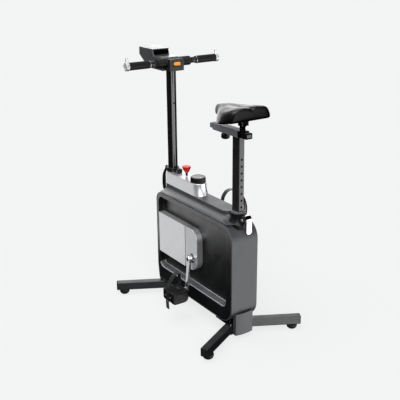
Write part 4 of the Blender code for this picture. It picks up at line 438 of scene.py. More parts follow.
def make_case_band():
    """The case's perimeter: a wall with round outer corners, carried along the case's outline."""
    wall, edge = 5.0, 2.8
    section = [(wall, -HALF)] + [(inset, drop - HALF) for inset, drop in quarter(edge, 6)[::-1]]
    section += [(inset, HALF - drop) for inset, drop in quarter(edge, 6)] + [(wall, HALF)]
    rings = [lay(body_edge(depth), x, "YZ") for depth, x in section]
    skin("case_band", rings, "frame", ABS_CASE, "body_band", closed_rings=True)


def make_side_panel(side, word):
    """A side casing: recess floor, filleted wall, rounded lip, flush rim and the wall behind, as one skin.

    The recess's lower wall slopes: a point near it rises by its depth and by how far down the corner it is.
    """
    lip, fillet, rim, wall = 3.0, 4.5, 5.6, 3.0
    slope = 13.0
    face = HALF - 0.8
    ledge_in, ledge_out = RECESS_X + fillet + 1.2, face - lip - 1.0
    inner = [(recess_edge(-drop), RECESS_X + inset) for inset, drop in quarter(fillet)]
    inner += [(recess_edge(0), x) for x in (ledge_in, ledge_out)]
    inner += [(recess_edge(inset), face - drop) for inset, drop in quarter(lip, 6)]
    for loop, x in inner:
        down = np.clip((RECESS_LOW + RECESS_ROUND - loop[:, 1]) / RECESS_ROUND, 0, 1)
        loop[:, 1] += slope * down * (face - x) / (face - RECESS_X)
    outer = [(body_edge(rim + inset), face - drop) for inset, drop in quarter(1.0, 3)[::-1]]
    outer += [(body_edge(rim), RECESS_X - 2.0), (body_edge(rim + wall), RECESS_X - 2.0),
              (body_edge(rim + wall), face - wall), (recess_edge(wall), face - wall),
              (recess_edge(wall), RECESS_X - wall)]
    rings = [lay(loop, side * x, "YZ") for loop, x in inner + outer]
    # Painted light and shade on the moulding: its plastic is darker than the case's, its ledge lighter, and
    # its recess's front wall black
    mesh = skin(word + "_side_panel_moulding", rings, "frame", ABS_SIDE_PAINTED_SHADE, word + "_side_panel").data
    for finish in (ABS_LEDGE_PAINTED_LIGHT, ABS_BLACK, ABS_CASE):
        mesh.materials.append(finish)
    x, y, z = (read(mesh.polygons, "center") / MM - (0, AXLE_Y, 0)).T
    depth, facing = np.abs(x), read(mesh.polygons, "normal")
    on_wall = (depth > RECESS_X + 1.5) & (depth < face - 0.4)
    # Painted light: the up-facing ledge at the bottom of the recess is lighter, with its middle strip in the
    # case's grey
    painted_light_ledge = on_wall & (z < RECESS_LOW + 23) & (facing[:, 2] > 0.35)
    # Painted shade: the recess's rear-facing front wall is black
    painted_shade_front = on_wall & (y < -270) & (facing[:, 1] > 0.35)
    between = (depth > ledge_in) & (depth < ledge_out)
    finish = np.select([painted_light_ledge & between, painted_light_ledge, painted_shade_front], [3, 1, 2])
    mesh.polygons.foreach_set("material_index", finish)


make_case_band()
for side, word in SIDES:
    make_side_panel(side, word)


def capsule(half, front_y, front_round, rear_y, rear_round, z):
    """A level ring: straight sides and half-ellipse ends."""
    end = arc(1, 0, 180, 24)
    rear = end * (half, rear_round) + (0, rear_y - rear_round)
    front = end * (-half, -front_round) + (0, front_y + front_round)
    return lay(np.concatenate([rear, front]), z, "XY")


# What a drawn-in ring does to a capsule's half width, front, front round, rear and rear round
DRAWN = np.array((-1, 1, -1, -1, -1))


def make_spine():
    """The raised top cover: a level ring shrinks up a quarter-circle cove, then rises to a round edge."""
    round_end = 30.0
    skirt = np.array((HALF - GAP, -298.0, round_end, 300.0, round_end))
    wall = np.array((39.0, -294.0, 39.0, 236.0, 39.0))
    groove_top = CASE_TOP + 2.4
    tucked = (skirt[0] - 6.0, skirt[1] + 6.0, round_end, skirt[3] - 6.0, round_end)
    rings = [capsule(*tucked, CASE_TOP + GAP), capsule(*tucked, groove_top),
             capsule(skirt[0] - 1.4, skirt[1] + 0.6, round_end, skirt[3] - 0.6, round_end, groove_top)]
    base, cove_top = groove_top + 0.8, 574.0
    rings += [capsule(*(wall + (skirt - wall) * spread), base + (cove_top - base) * rise)
              for rise, spread in quarter(1, 13)]
    head = np.array((*wall[:4], round_end))
    rings += [capsule(*(head + inset * DRAWN), SPINE_TOP - drop) for inset, drop in quarter(3.0)]
    skin("spine_moulding", rings, "frame", ABS_CASE, "spine_cover", sharp=40)


def make_control_bar():
    """The silver bar: a level ring draws in from a flared foot to a rounded top edge."""
    head = np.array((37.0, -292.0, 37.0, -2.0, 41.0))
    flare = np.array((2.5, -2.0, 2.5, 14.0, 6.0))
    edge = 2.5
    rings = [capsule(*(head + flare * (1 - share) ** 1.6), BAR_LOW + (BAR_TOP - edge - BAR_LOW) * share)
             for share in np.linspace(0, 1, 9)]
    rings += [capsule(*(head + inset * DRAWN), BAR_TOP - drop) for inset, drop in quarter(edge)[1:]]
    skin("control_bar_moulding", rings, "frame", SILVER, "control_bar", sharp=40)


make_spine()
make_control_bar()

COVER_STEP, COVER_GROOVE = -54.1, 0.8       # where the silver cover's two fields meet, and how wide apart
COVER_ROUND = 56.0


def cover_front_edge(inset):
    """The silver cover's front field, from the case's front to the step."""
    front, rear = COVER_FRONT + inset, COVER_STEP - COVER_GROOVE / 2 - inset
    low, high = COVER_LOW + inset, COVER_TOP - inset
    return rounded([(front, low, 2), (rear, low, 0.8), (rear, high, 0.8), (front, high, 2)], 6)


def cover_rear_edge(inset):
    """The silver cover's rear field, from the step to its two large round corners."""
    front, rear = COVER_STEP + COVER_GROOVE / 2 + inset, COVER_REAR - inset
    low, high, large = COVER_LOW + inset, COVER_TOP - inset, COVER_ROUND - inset
    return rounded([(front, low, 0.8), (rear, low, large), (rear, high, large), (front, high, 0.8)], 16)


def make_belt_cover(side, word):
    """The silver cover: a front field and a lower rear field with a round well for the crank's hub."""
    top = HALF - GAP
    front = plate_rings(cover_front_edge, COVER_BASE, top, "YZ", 0.0, 1.2)
    skin(word + "_belt_cover_front", front * (side, 1, 1), "frame", SILVER, word + "_belt_cover")
    low = top - 1.5
    rings = plate_rings(cover_rear_edge, COVER_BASE, low, "YZ", 0.0, 2.2, 5)
    spoke = rings[-1][:, 1:] - (0, AXLE_Z)
    spoke /= np.linalg.norm(spoke, axis=1)[:, None]
    well = [lay(spoke * radius + (0, AXLE_Z), low - depth, "YZ")
            for radius, depth in ((25, 0), (23.8, 0.6), (23.5, 6), (20, 6.5))]
    rings = np.concatenate([rings, well])
    # Painted shade: the rear field's lacquer is a darker copy of the front field's
    skin(word + "_belt_cover_rear", rings * (side, 1, 1), "frame", SILVER_PAINTED_SHADE, word + "_belt_cover")


for side, word in SIDES:
    make_belt_cover(side, word)

LEG_LOW, LEG_TOP = box("rear_left_leg")[:, 2]
LEG_PIVOT = box("rear_left_leg_pin").mean(0)[:2]
LEG_WIDTH = 35.0
FOOT_RADIUS, FOOT_HEIGHT = 25.0, 23.5
FOOT_PLACE = box("rear_left_foot")[0][:2] + FOOT_RADIUS


def spun(rings, angle, centre):
    """Rings turned about the upright line through a centre (x, y) by an angle in radians."""
    x, y, z = np.moveaxis(np.array(rings, float), -1, 0)
    return np.stack([x * math.cos(angle) - y * math.sin(angle) + centre[0],
                     x * math.sin(angle) + y * math.cos(angle) + centre[1], z], -1)


def make_leg(end, side, name):
    """A steel box tube along its own length, round at the pivot end, with a rubber cap and a bowl foot."""
    pivot, foot = LEG_PIVOT * (side, end), FOOT_PLACE * (side, end)
    length = float(np.linalg.norm(foot - pivot))
    angle = math.atan2(*(foot - pivot)[::-1])
    half = LEG_WIDTH / 2
    tube_end = length + 34

    def sole(inset):
        """The tube from above: a half round about the pivot, square at the far end."""
        radius, far = half - inset, tube_end - inset * 0.2
        return np.concatenate([arc(radius, 90, 270, 20), [(far, -radius), (far, radius)]])

    rings = plate_rings(sole, LEG_LOW, LEG_TOP, "XY", 3, 3)
    skin(name + "_leg_tube", spun(rings, angle, pivot), name + "_leg_body", POWDER, name + "_leg")
    face = block_outline(-half, half, LEG_LOW, LEG_TOP, 4)
    cap = [lay(face(inset), tube_end + depth, "YZ")
           for inset, depth in ((0.4, GAP), (0, 0.8), (0, 3), (1.2, 4.4), (3.5, 5))]
    skin(name + "_leg_cap", spun(cap, angle, pivot), name + "_leg_body", RUBBER, name + "_foot")
    r, h = FOOT_RADIUS, FOOT_HEIGHT
    bowl = [(0, 0), (r - 10.5, 0), (r - 8, 1), (r - 3, 6.2), (r - 0.6, 12), (r, 16.5), (r, h - 1.5),
            (r - 1, h - 0.4), (r - 3, h), (0, h)]
    turned(name + "_foot_pad", bowl, "Z", (*foot, 0), name + "_leg_body", RUBBER, name + "_foot")


for end, end_word in ((-1, "front_"), (1, "rear_")):
    for side, word in SIDES:
        make_leg(end, side, end_word + word)


def make_handlebar_post():
    """The round black post: a smooth tube with a round top edge, and its index hole as a rim around a dark
    disc of painted shade for the inside of the hole.
    """
    (_, _, low), (radius, _, top) = box("handlebar_post")
    hole_z = 982.0
    profile = [(0, low), (radius - 1, low), (radius, low + 1), (radius, top - 1), (radius - 1, top), (0, top)]
    turned("post_tube", profile, "Z", (0, POST_Y, 0), "handlebar_body", ENAMEL, "handlebar_post", steps=96)
    turn = around(32)

    def on_tube(spread, proud):
        """A ring at a spread round the index hole, laid on the tube's round side and a little proud of it."""
        x, z = spread * np.cos(turn), hole_z + spread * np.sin(turn)
        return np.stack([x, np.sqrt((radius + proud) ** 2 - x ** 2) + POST_Y, z], 1)

    rim = [on_tube(*step) for step in
           ((3.2, 0.04), (3.7, 0.1), (4.8, 0.1), (5.3, 0), (5.3, -1.2), (3.2, -1.2))]
    skin("post_hole_rim", rim, "handlebar_body", ABS_BLACK, "handlebar_post", closed_rings=True)
    # Painted shade: a thin dark disc inside the rim, flush with the tube, for the shade inside the hole
    hole_shade = [on_tube(*step) for step in ((0.1, 0.06), (1.6, 0.06), (3.1, 0.06), (3.1, -0.8), (0.1, -0.8))]
    skin("post_hole_plug", hole_shade, "handlebar_body", RUBBER, "handlebar_post")


def make_collar():
    """The clamp collar: a bellied ring, a split lug behind with its bolt, and the lever's ear in front."""
    node = "handlebar_collar"
    (_, _, low), (outer, _, high) = box(node)
    inner = 26.8
    middle, half = (low + high) / 2, (high - low) / 2
    belly = arc(1, -90, 90, 12) * (2.2, half - 0.6) + (outer - 1.6, middle)
    profile = [(inner, low), *belly, (inner, high), (inner, low)]
    turned("collar_ring", profile, "Z", (0, POST_Y, 0), "frame", ABS_BLACK, node, steps=96)
    slit, lug_half = 1.2, 13.0
    cheek = block_outline(-235.2, -199.2, low + 0.4, high - 0.4, 4.5)
    bolt = [(0, 2.8), (3, 2.8), (4.2, 2), (4.4, 0.6), (4.4, 0), (0, 0)]
    for side, word in SIDES:
        rings = plate_rings(cheek, slit, lug_half, "YZ", 1.2, 1.2)
        skin("collar_cheek_" + word, rings * (side, 1, 1), "frame", ABS_BLACK, node)
        turned("collar_bolt_" + word, bolt, "X", (side * lug_half, -208.5, middle), "frame", ZINC, node,
               steps=32, side=side)
    ear = rounded([(-310.8, 651.1, 4.9), (-293, 651.1, 1), (-293, 655.6, 1), (-305.8, 655.6, 0.5),
                   (-305.8, 661.1, 0.5), (-310.8, 661.1, 4.9)])
    skin("collar_ear", [lay(ear, x, "YZ") for x in (-5.5, 5.5)], "frame", ABS_BLACK, node)


def make_stop_knob():
    """The red stop knob: a waisted cone under a domed top, on its dark stem."""
    centre = (0, box("stop_knob").mean(0)[1], box("stop_knob")[1][2])
    cone = [(0, -1.2), (12.5, -0.4), (18, 0), (20, -0.8), (21, -2.6), (20.8, -4.5), (19.4, -9), (17, -15),
            (14, -21), (10.8, -26.5), (8.4, -30), (7.6, -31.2), (0, -31.2)]
    turned("stop_knob_cone", cone, "Z", centre, "stop_body", RED, "stop_knob", steps=72)
    stem = [(0, -31.2), (5.8, -31.2), (5.8, -44.4), (6.6, -45), (0, -45)]
    turned("stop_knob_stem", stem, "Z", centre, "stop_body", ABS_BLACK, "stop_knob", steps=48)


def make_dial():
    """The round dial: a profile carried round, with a ripple of 48 ribs on its skirt, and its light mark."""
    (_, low_y, _), (radius, high_y, top) = box("resistance_dial")
    centre = (0, (low_y + high_y) / 2, BAR_TOP + 0.5)
    height = top - centre[2]
    inset_and_height = [(radius, 0), (1.4, 0), (0.2, 1), (0, 2.4), (0, 5.2), (1, 5.8), (1, 6.6), (0.2, 7.2),
                        (0.6, height - 3.8), (1.4, height - 1.6), (3.6, height - 0.2), (5.6, height),
                        (6.6, height - 0.8), (radius, height - 1.2)]
    rings = lathe([(radius - inset, h) for inset, h in inset_and_height], "Z", (0, 0, 0), 192)
    on_skirt = (rings[..., 2] > 7) & (rings[..., 2] < height - 3)
    ripple = 0.5 * (np.cos(48 * around(192)) - 1) * on_skirt
    rings[..., 0] += ripple * np.cos(around(192))
    rings[..., 1] += ripple * np.sin(around(192))
    skin("dial_skirt", rings + centre, "dial_body", ABS_BLACK, "resistance_dial", "dial_plastic", sharp=50)
    line = rounded([(-1, 18, 0.9), (1, 18, 0.9), (1, 27, 0.9), (-1, 27, 0.9)])
    mark = [lay(line, height - drop, "XY") + centre for drop in (1.4, 0.8)]
    skin("dial_mark", mark, "dial_body", SILVER, "resistance_dial")


make_handlebar_post()
make_collar()
make_stop_knob()
make_dial()

CRANK_LENGTH = AXLE_Z - box("left_pedal_axle").mean(0)[2]
CRANK_HUB_X = box("left_crank")[0][0]
(PEDAL_IN, _, _), (PEDAL_OUT, PEDAL_HALF, _) = box("left_pedal")


def make_crank(side, word):
    """A forged crank: super-ellipse sections from the hub, narrowed to a waist and flared to the round eye.

    The arm bows outwards by an ease curve, 3 t² - 2 t³ of its length.
    """
    node = word + "_crank"
    at_hub, at_eye = (side * CRANK_HUB_X, 0, AXLE_Z), (0, 0, AXLE_Z - side * CRANK_LENGTH)
    hub = [(0, 19.8), (6, 19.6), (8.5, 18.8), (9, 18), (12.8, 18), (15.8, 17), (16.9, 15.2), (17, 13),
           (17, 1.2), (15.8, 0), (0, 0)]
    turned(word + "_crank_hub", hub, "X", at_hub, "cranks", ALLOY, node, steps=72, side=side)
    cap = [(0, 20.6), (7.2, 20.4), (8.4, 19.6), (8.8, 18.6), (8.8, 17), (0, 17)]
    turned(word + "_crank_cap", cap, "X", at_hub, "cranks", ABS_BLACK, node, steps=48, side=side)
    hub_half, waist, flare, eye = 14.5, 4.5, 2.5, 12.5
    arm_x, bow, half_thick, thicker, square = 84.5, 12.0, 5.2, 0.8, 0.35
    past_eye = eye * np.sin(np.linspace(0.2, math.pi / 2 - 0.12, 8))
    reach = np.concatenate([np.linspace(0, CRANK_LENGTH, 26), CRANK_LENGTH + past_eye])[:, None]
    share = np.minimum(reach / CRANK_LENGTH, 1)
    ease = share ** 2 * (3 - 2 * share)
    half = hub_half - waist * np.sin(share * math.pi / 2) + flare * np.maximum(share - 0.8, 0) / 0.2
    half[-len(past_eye):, 0] = np.sqrt(eye ** 2 - past_eye ** 2)
    cos, sin = np.cos(around(32)), np.sin(around(32))
    x = side * (arm_x + bow * ease) + (half_thick + thicker * ease) * np.sign(sin) * np.abs(sin) ** square
    y = half * np.sign(cos) * np.abs(cos) ** square
    z = AXLE_Z - side * reach + 0 * sin
    skin(word + "_crank_arm", np.stack([x, y, z], -1), "cranks", ALLOY, node, sharp=60)
    washer = [(12.5, 102.2), (10, 103), (0, 103), (0, 102), (12.5, 102)]
    turned(word + "_crank_eye", washer, "X", at_eye, "cranks", ZINC, node, "crank_metal", 48, side=side)
    seal = [(17.2, 0), (17.2, 3.5), (18, 4.2), (22.2, 4.2), (23, 3.5), (23, 0), (17.2, 0)]
    turned(word + "_hub_seal", seal, "X", (side * (HALF - 8.8), 0, AXLE_Z), "frame", RUBBER,
           word + "_belt_cover", steps=72, side=side)


PEDAL_LOW, PEDAL_TOP = -48.0, 13.0      # from the pedal's axle


def pedal_face(grow):
    """The pedal's end face from behind, (x, height over the axle), with large lower corners."""
    inner, outer, low, high = PEDAL_IN - grow, PEDAL_OUT + grow, PEDAL_LOW - grow, PEDAL_TOP + grow * 0.3
    large, small = max(22 + grow, 1), max(6 + grow, 1)
    return rounded([(inner, low, large), (outer, low, large), (outer, high, small), (inner, high, small)], 8)


def make_pedal(side, word):
    """A deep moulded pedal: a round-edged block, nested ridges on its end faces, and a ribbed tread."""
    body, node = word + "_pedal_body", word + "_pedal"
    z = AXLE_Z - side * CRANK_LENGTH

    def across(outline, y):
        return lay(outline, y, "XZ") * (side, 1, 1) + (0, 0, z)

    edge = quarter(9)
    block = [across(pedal_face(-inset), drop - PEDAL_HALF) for inset, drop in edge[::-1]]
    block += [across(pedal_face(-inset), PEDAL_HALF - drop) for inset, drop in edge]
    skin(word + "_pedal_block", block, body, ABS_BLACK, node, "pedal_plastic", sharp=50)
    ridges = []
    first, pitch, ridge = 9.5, 6.2, 2.6
    for end in (-1, 1):
        low, high = end * (PEDAL_HALF - 2), end * (PEDAL_HALF + 1.2)
        for inset in first + pitch * np.arange(4):
            outer, inner = pedal_face(-inset), pedal_face(-inset - ridge)
            ridges.append([across(outer, low), across(outer, high), across(inner, high), across(inner, low)])
    skins(word + "_pedal_ridges", ridges, body, ABS_BLACK, node, "pedal_plastic", True)
    bars = []
    top = z + PEDAL_TOP
    for y in np.linspace(-36, 36, 9):
        bar = block_outline(PEDAL_IN + 10, PEDAL_OUT - 10, y - 1.6, y + 1.6, 1.4, 4)
        bars.append(plate_rings(bar, top - 0.8, top + 1.6, "XY", 0.0, 0.7, 2) * (side, 1, 1))
    skins(word + "_pedal_tread", bars, body, RUBBER, node)
    bolt = [(0, 3), (4, 3), (5.2, 2.2), (5.4, 1), (5.4, -1), (0, -1)]
    bolts = [lathe(bolt, "X", (side * PEDAL_OUT, y, z - 14), 24, side) for y in (-20, 20)]
    skins(word + "_pedal_bolts", bolts, body, ZINC, node)


# Each strap from behind, from its inner end, as shares of its width and of its height over the pedal
LEFT_STRAP = ((0.44, 0.0), (0.34, 0.0), (0.30, 0.06), (0.275, 0.24), (0.265, 0.52), (0.27, 0.80),
              (0.31, 0.94), (0.40, 1.0), (0.51, 0.955), (0.62, 0.87), (0.73, 0.74), (0.83, 0.58),
              (0.92, 0.40), (0.985, 0.22), (1.0, 0.0), (1.0, -0.35), (1.01, -0.75), (0.99, -1.15))
RIGHT_STRAP = ((0.18, 0.0), (0.06, 0.0), (0.0, 0.07), (-0.06, 0.35), (-0.08, 0.62), (-0.02, 0.80),
               (0.16, 0.95), (0.40, 1.0), (0.70, 0.96), (1.02, 0.80), (1.27, 0.58), (1.41, 0.32),
               (1.43, 0.08), (1.34, -0.14), (1.18, -0.26), (1.03, -0.30), (1.0, -0.33), (1.0, -0.40))


def smooth_path(points, spacing):
    """A Catmull-Rom curve through points, resampled at an even spacing."""
    points = np.asarray(points, float)
    ends = np.concatenate([[2 * points[0] - points[1]], points, [2 * points[-1] - points[-2]]])
    t = np.linspace(0, 1, 12, endpoint=False)[:, None]
    p0, p1, p2, p3 = (ends[k:len(ends) - 3 + k, None, :] for k in range(4))
    curve = 0.5 * (2 * p1 + (p2 - p0) * t + (2 * p0 - 5 * p1 + 4 * p2 - p3) * t ** 2
                   + (3 * p1 - p0 - 3 * p2 + p3) * t ** 3)
    curve = np.concatenate([curve.reshape(-1, points.shape[1]), points[-1:]])
    run = np.concatenate([[0], np.cumsum(np.linalg.norm(np.diff(curve, axis=0), axis=1))])
    at = np.linspace(0, run[-1], max(int(run[-1] / spacing), 2) + 1)
    return np.stack([np.interp(at, run, curve[:, k]) for k in range(points.shape[1])], 1)


def make_strap(side, word, table, height, first_slot, last_slot):
    """The foot strap: a sheet over a smooth path, every third middle cell open between two shares of it."""
    width, thick = 91.55, 2.5
    base = AXLE_Z - side * CRANK_LENGTH + PEDAL_TOP + thick / 2 + GAP
    table = np.array(table)
    path = smooth_path(np.stack([side * (PEDAL_IN + table[:, 0] * width), base + table[:, 1] * height], 1), 3)
    across = np.array((-12, -10.8, -6, 6, 10.8, 12))
    rows, columns = len(path), len(across)
    x, z = np.repeat(path, columns, 0).T
    points = np.stack([x, np.tile(across, rows), z], 1)
    row, column = np.meshgrid(np.arange(rows - 1), np.arange(columns - 1), indexing="ij")
    share = row / (rows - 1)
    slot = (column == 2) & (row % 3 == 1) & (share > first_slot) & (share < last_slot)
    first = (row * columns + column)[~slot]
    faces = np.stack([first, first + columns, first + columns + 1, first + 1], 1).tolist()
    surface(word + "_strap_band", points, faces, word + "_pedal_body", STRAP, word + "_strap", sharp=60,
            thick=thick)


for side, word in SIDES:
    make_crank(side, word)
    make_pedal(side, word)
make_strap(1, "left", LEFT_STRAP, 79, 0.40, 0.95)
make_strap(-1, "right", RIGHT_STRAP, 137, 0.46, 0.93)

(_, SLEEVE_FRONT, SLEEVE_LOW), (SLEEVE_HALF, _, _) = box("seat_sleeve")
SEAT_Y = SLEEVE_FRONT + SLEEVE_HALF
SEAT_CLAMP_RADIUS = 18.0
SEAT_CLAMP = (box("seat_lever").mean(0)[1], box("seat_lever")[1][2] - SEAT_CLAMP_RADIUS)


def make_seat_sleeve():
    """The sleeve: a round wall whose flared foot follows the case, a light top ring, and the boss behind.

    Wall and ring close on a bore, which is the post's round-cornered outline at the wall's own angles.
    """
    node = "seat_sleeve"
    corners = block_outline(-15.5, 15.5, -25.5, 25.5, 5, 12)(0)
    turn = np.linspace(-math.pi, math.pi, 96, endpoint=False)
    place = np.arctan2(corners[:, 1], corners[:, 0])
    order = np.argsort(place)
    post = np.stack([np.interp(turn, place[order], corners[order, k], period=2 * math.pi) for k in (0, 1)], 1)
    spoke = np.stack([np.cos(turn), np.sin(turn)], 1)
    low, flare_top, wall_top, ring_low, ring_top = 546.4, 566.4, 588.6, 588.9, 598.4

    def sunk(loop, z):
        """A level ring, let down onto the case's rounded rear corner the more the lower it lies."""
        y = loop[:, 1] + SEAT_Y
        past = np.clip(y - CASE_REAR + CASE_ROUND, 0, CASE_ROUND - 1)
        case = CASE_TOP - CASE_ROUND + np.sqrt(CASE_ROUND ** 2 - past ** 2)
        drop = (low - np.maximum(case + GAP, SLEEVE_LOW)) * max((flare_top - z) / (flare_top - low), 0)
        return np.column_stack([loop[:, 0], y, z - drop])

    def wall_rings(profile, bottom, top):
        """Rings up a round outside between the bore's lower and upper edge."""
        return [sunk(post, bottom), *[sunk(spoke * radius, z) for radius, z in profile], sunk(post, top)]

    wall = [(39.5, low), (39.4, low + 7.5), (38.8, low + 8.8), (36.2, low + 11), (33.8, low + 14.5),
            (32.2, low + 18), (31.3, flare_top + 4), (31, 588), (30.2, wall_top)]
    wall = wall_rings(wall, low, wall_top)
    skin("seat_sleeve_wall", wall, "frame", ABS_BLACK, node, closed_rings=True)
    ring = [(30.6, ring_low), (32.2, 589.6), (32.6, 591), (32.6, 596), (31.8, 598), (29.8, 599),
            (28.5, ring_top)]
    ring = wall_rings(ring, ring_low, ring_top)
    skin("seat_sleeve_ring", ring, "frame", RAIL_GREY, node, closed_rings=True)
    radius = SEAT_CLAMP_RADIUS
    lug = np.concatenate([arc(radius, -90, 90, 20), [(-24.5, radius * 0.9), (-24.5, -radius * 0.9)]])
    boss = [lay(lug * size + SEAT_CLAMP, x, "YZ") for size, x in ((1, 4), (1, 12.8), (0.95, 14))]
    skin("seat_sleeve_boss", boss, "frame", ABS_BLACK, node)


def make_seat_lever():
    """The polished cam lever: a round drum on the clamp's axis and a flat paddle with a full round end."""
    body, node, centre = "seat_lever_body", "seat_lever", (0, *SEAT_CLAMP)
    drum = [(0, 3.5), (16.5, 3.5), (17.7, 2.8), (18, 1.5), (18, -24.5), (17.2, -25.9), (15.5, -26.5),
            (6, -26.5), (5.2, -25.8), (0, -25.8)]
    turned("seat_lever_drum", drum, "X", centre, body, CHROME, node, steps=72)
    paddle = block_outline(-26.5, 3.5, 502.1, 572, 14.5, 10)
    skin("seat_lever_paddle", plate_rings(paddle, 331.2, 336.6, "XZ", 1.6, 2.2, 5), body, CHROME, node)
    nut = [(0, 19.6), (5, 19.6), (7.8, 18.8), (8.8, 17.4), (9, 14.6), (0, 14.6)]
    turned("seat_lever_nut", nut, "X", centre, body, ZINC, node, steps=48)


def make_index_hole_shade():
    """Painted shade: a thin dark disc in each of the nine index holes behind the seat post, for the shade
    inside it.
    """
    pitch, lowest, post_back = 30.5, 587.5, 292.5
    shade_disc = [(5, 0), (5, 0.6), (4.7, 0.7)]
    shade_discs = [lathe(shade_disc, "Y", (0, post_back, lowest + pitch * k), 28) for k in range(9)]
    skins("index_holes", shade_discs, "seat_post_body", RUBBER)


def make_handlebar_lever():
    """The collar's cam lever: two cheeks on the ear's pin, and an arm that bows out to a round handle."""
    body, node = "handlebar_lever_body", "handlebar_lever"
    y, z = -305.8, 656.1
    cheek = [(y + 7.5, z - 7.5, 7), (y + 7.5, z + 7, 6.5), (y - 7, z + 7, 6), (y - 17, z - 4, 3),
             (y - 12, z - 13, 3)]
    cheeks = [plate_rings(lambda inset: drawn_in(cheek, inset), low, low + 4.8, "YZ", 0.8, 0.8, 2)
              for low in (-10.8, 6)]
    skins("handlebar_lever_cheeks", cheeks, body, ABS_BLACK, node)
    # Stations from the cheeks to the tip: y, z, half thickness and half width
    stations = smooth_path([(-316, 652, 4, 9.5), (-328, 640, 4.2, 8), (-342, 621, 5, 7.5),
                            (-349, 604, 7.5, 8.5), (-351.5, 580, 8.5, 9.2), (-351.5, 555, 8.5, 9.2),
                            (-350, 535, 7.4, 8), (-349, 527, 4.8, 5.2), (-348.6, 524.8, 1.5, 1.6)], 2.5)
    run = np.gradient(stations[:, :2], axis=0)
    run /= np.linalg.norm(run, axis=1)[:, None]
    cos, sin = np.cos(around(28)), np.sin(around(28))
    rings = [np.stack([wide * cos, v - dw * thick * sin, w + dv * thick * sin], 1)
             for (v, w, thick, wide), (dv, dw) in zip(stations, run)]
    skin("handlebar_lever_arm", rings, body, ABS_BLACK, node, sharp=60)
    pin = [(0, -11.6), (2.6, -11.6), (3.4, -11), (3.4, 11), (2.6, 11.6), (0, 11.6)]
    turned("handlebar_lever_pin", pin, "X", (0, y, z), body, ZINC, node, steps=32)


make_seat_sleeve()
make_seat_lever()
make_index_hole_shade()
make_handlebar_lever()


def make_grip(side, word):
    """A foam sleeve: a tube with round shoulders."""
    (start, low_y, _), (end, high_y, _) = box("left_grip")
    radius, bore, edge = (high_y - low_y) / 2, 12.8, 2
    profile = [(bore, start), *(arc(edge, -90, 0, 4) + (radius - edge, start + edge)),
               *(arc(edge, 0, 90, 4) + (radius - edge, end - edge)), (bore, end), (bore, start)]
    piece = turned(word + "_grip_foam", profile, "X", (0, HANDLE_Y, HANDLE_Z), word + "_arm_body", FOAM,
                   word + "_grip", sharp=50, side=side)


def make_arm(side, word):
    """A folding arm: dark knuckle cheeks on a pin, a light flange, the tube, and an end cap with a horn."""
    body, node, centre = word + "_arm_body", word + "_handle_arm", (0, HANDLE_Y, HANDLE_Z)
    pin_x, knuckle, disc = 110.0, 12.5, 123.5
    far, at_pin = disc + 1 - pin_x, (side * pin_x, HANDLE_Y, HANDLE_Z)
    cheek = np.concatenate([arc(knuckle, 90, 270, 20), [(far, -knuckle), (far, knuckle)]])
    cheeks = [[lay(cheek * size, low + depth, "XZ") * (side, 1, 1) + at_pin
               for size, depth in ((0.95, 0), (1, 0.7), (1, 4.8), (0.95, 5.5))] for low in (-12, 6.5)]
    skins(word + "_arm_knuckle", cheeks, body, ABS_BLACK, node, "yoke_plastic")
    flange = [(0, disc), (16.5, disc), (17.3, disc + 0.7), (17.3, 127), (16.5, 127.7), (0, 127.7)]
    turned(word + "_arm_flange", flange, "X", centre, body, ZINC, node, "polished_metal", side=side)
    tube = [(0, 127.7), (12.5, 127.7), (12.5, 240), (0, 240)]
    turned(word + "_arm_tube", tube, "X", centre, body, SATIN, node, steps=48, side=side)
    pin = [(0, -13.4), (4.6, -13.4), (5.6, -12.8), (5.6, -12.1), (4.5, -12.1), (4.5, 12.1), (5.6, 12.1),
           (5.6, 12.8), (4.6, 13.4), (0, 13.4)]
    turned(word + "_arm_pin", pin, "Y", at_pin, body, ENAMEL, node, "pin_steel", 40)
    low, high, radius = 234.5, 250.0, 19.5
    cap = [(0, low), (radius - 0.6, low), (radius, low + 0.6), (radius, high - 2.4),
           (radius - 0.8, high - 0.7), (radius - 2.6, high), (radius - 4.4, high), (radius - 5, high - 1),
           (0, high - 1)]
    turned(word + "_arm_cap", cap, "X", centre, body, SATIN, node, steps=72, side=side)
    horn = block_outline(235, 247, 1188.5, 1215.5, 3.5)
    rings = plate_rings(horn, HANDLE_Y - 3.5, HANDLE_Y + 3.5, "XZ", 1.2, 1.2, 3)
    skin(word + "_arm_horn", rings * (side, 1, 1), body, SATIN, node)


for side, word in SIDES:
    make_grip(side, word)
    make_arm(side, word)


def make_console():
    """The console: its side outline across the width, and a black display with two round lower corners.

    The display's face is flat: a point is the foot of the slope, plus its height along the slope, plus its
    level straight out of it.
    """
    outline = [(-483, 1225, 3), (-483, 1188, 4), (-436, 1157, 8), (-371, 1134, 12), (-264, 1134, 3),
               (-264, 1195, 3), (-348, 1195, 2), (-356, 1219.5, 0.8), (-350.5, 1220.5, 0.8),
               (-351.5, 1225, 1.6)]
    rings = plate_rings(lambda inset: drawn_in(outline, inset), -45, 45, "YZ", 3, 3, 5)
    skin("console_shell", rings, "handlebar_body", ABS_CONSOLE, "console_body")
    face = [(-42.5, 1, 12.5), (42.5, 1, 12.5), (42.5, 22.5, 1.5), (-42.5, 22.5, 1.5)]
    foot, head = np.array((-348.2, 1196.6)), np.array((-356.0, 1219.0))
    up = (head - foot) / np.linalg.norm(head - foot)
    out = np.array((up[1], -up[0]))
    rings = []
    for inset, level in ((0, -1), (0, 2.2), (0.6, 3.2), (2, 3.8)):
        loop = drawn_in(face, inset)
        rings.append(np.column_stack([loop[:, 0], foot + loop[:, 1:2] * up + level * out]))
    skin("console_window", rings, "handlebar_body", WINDOW, "console_display")


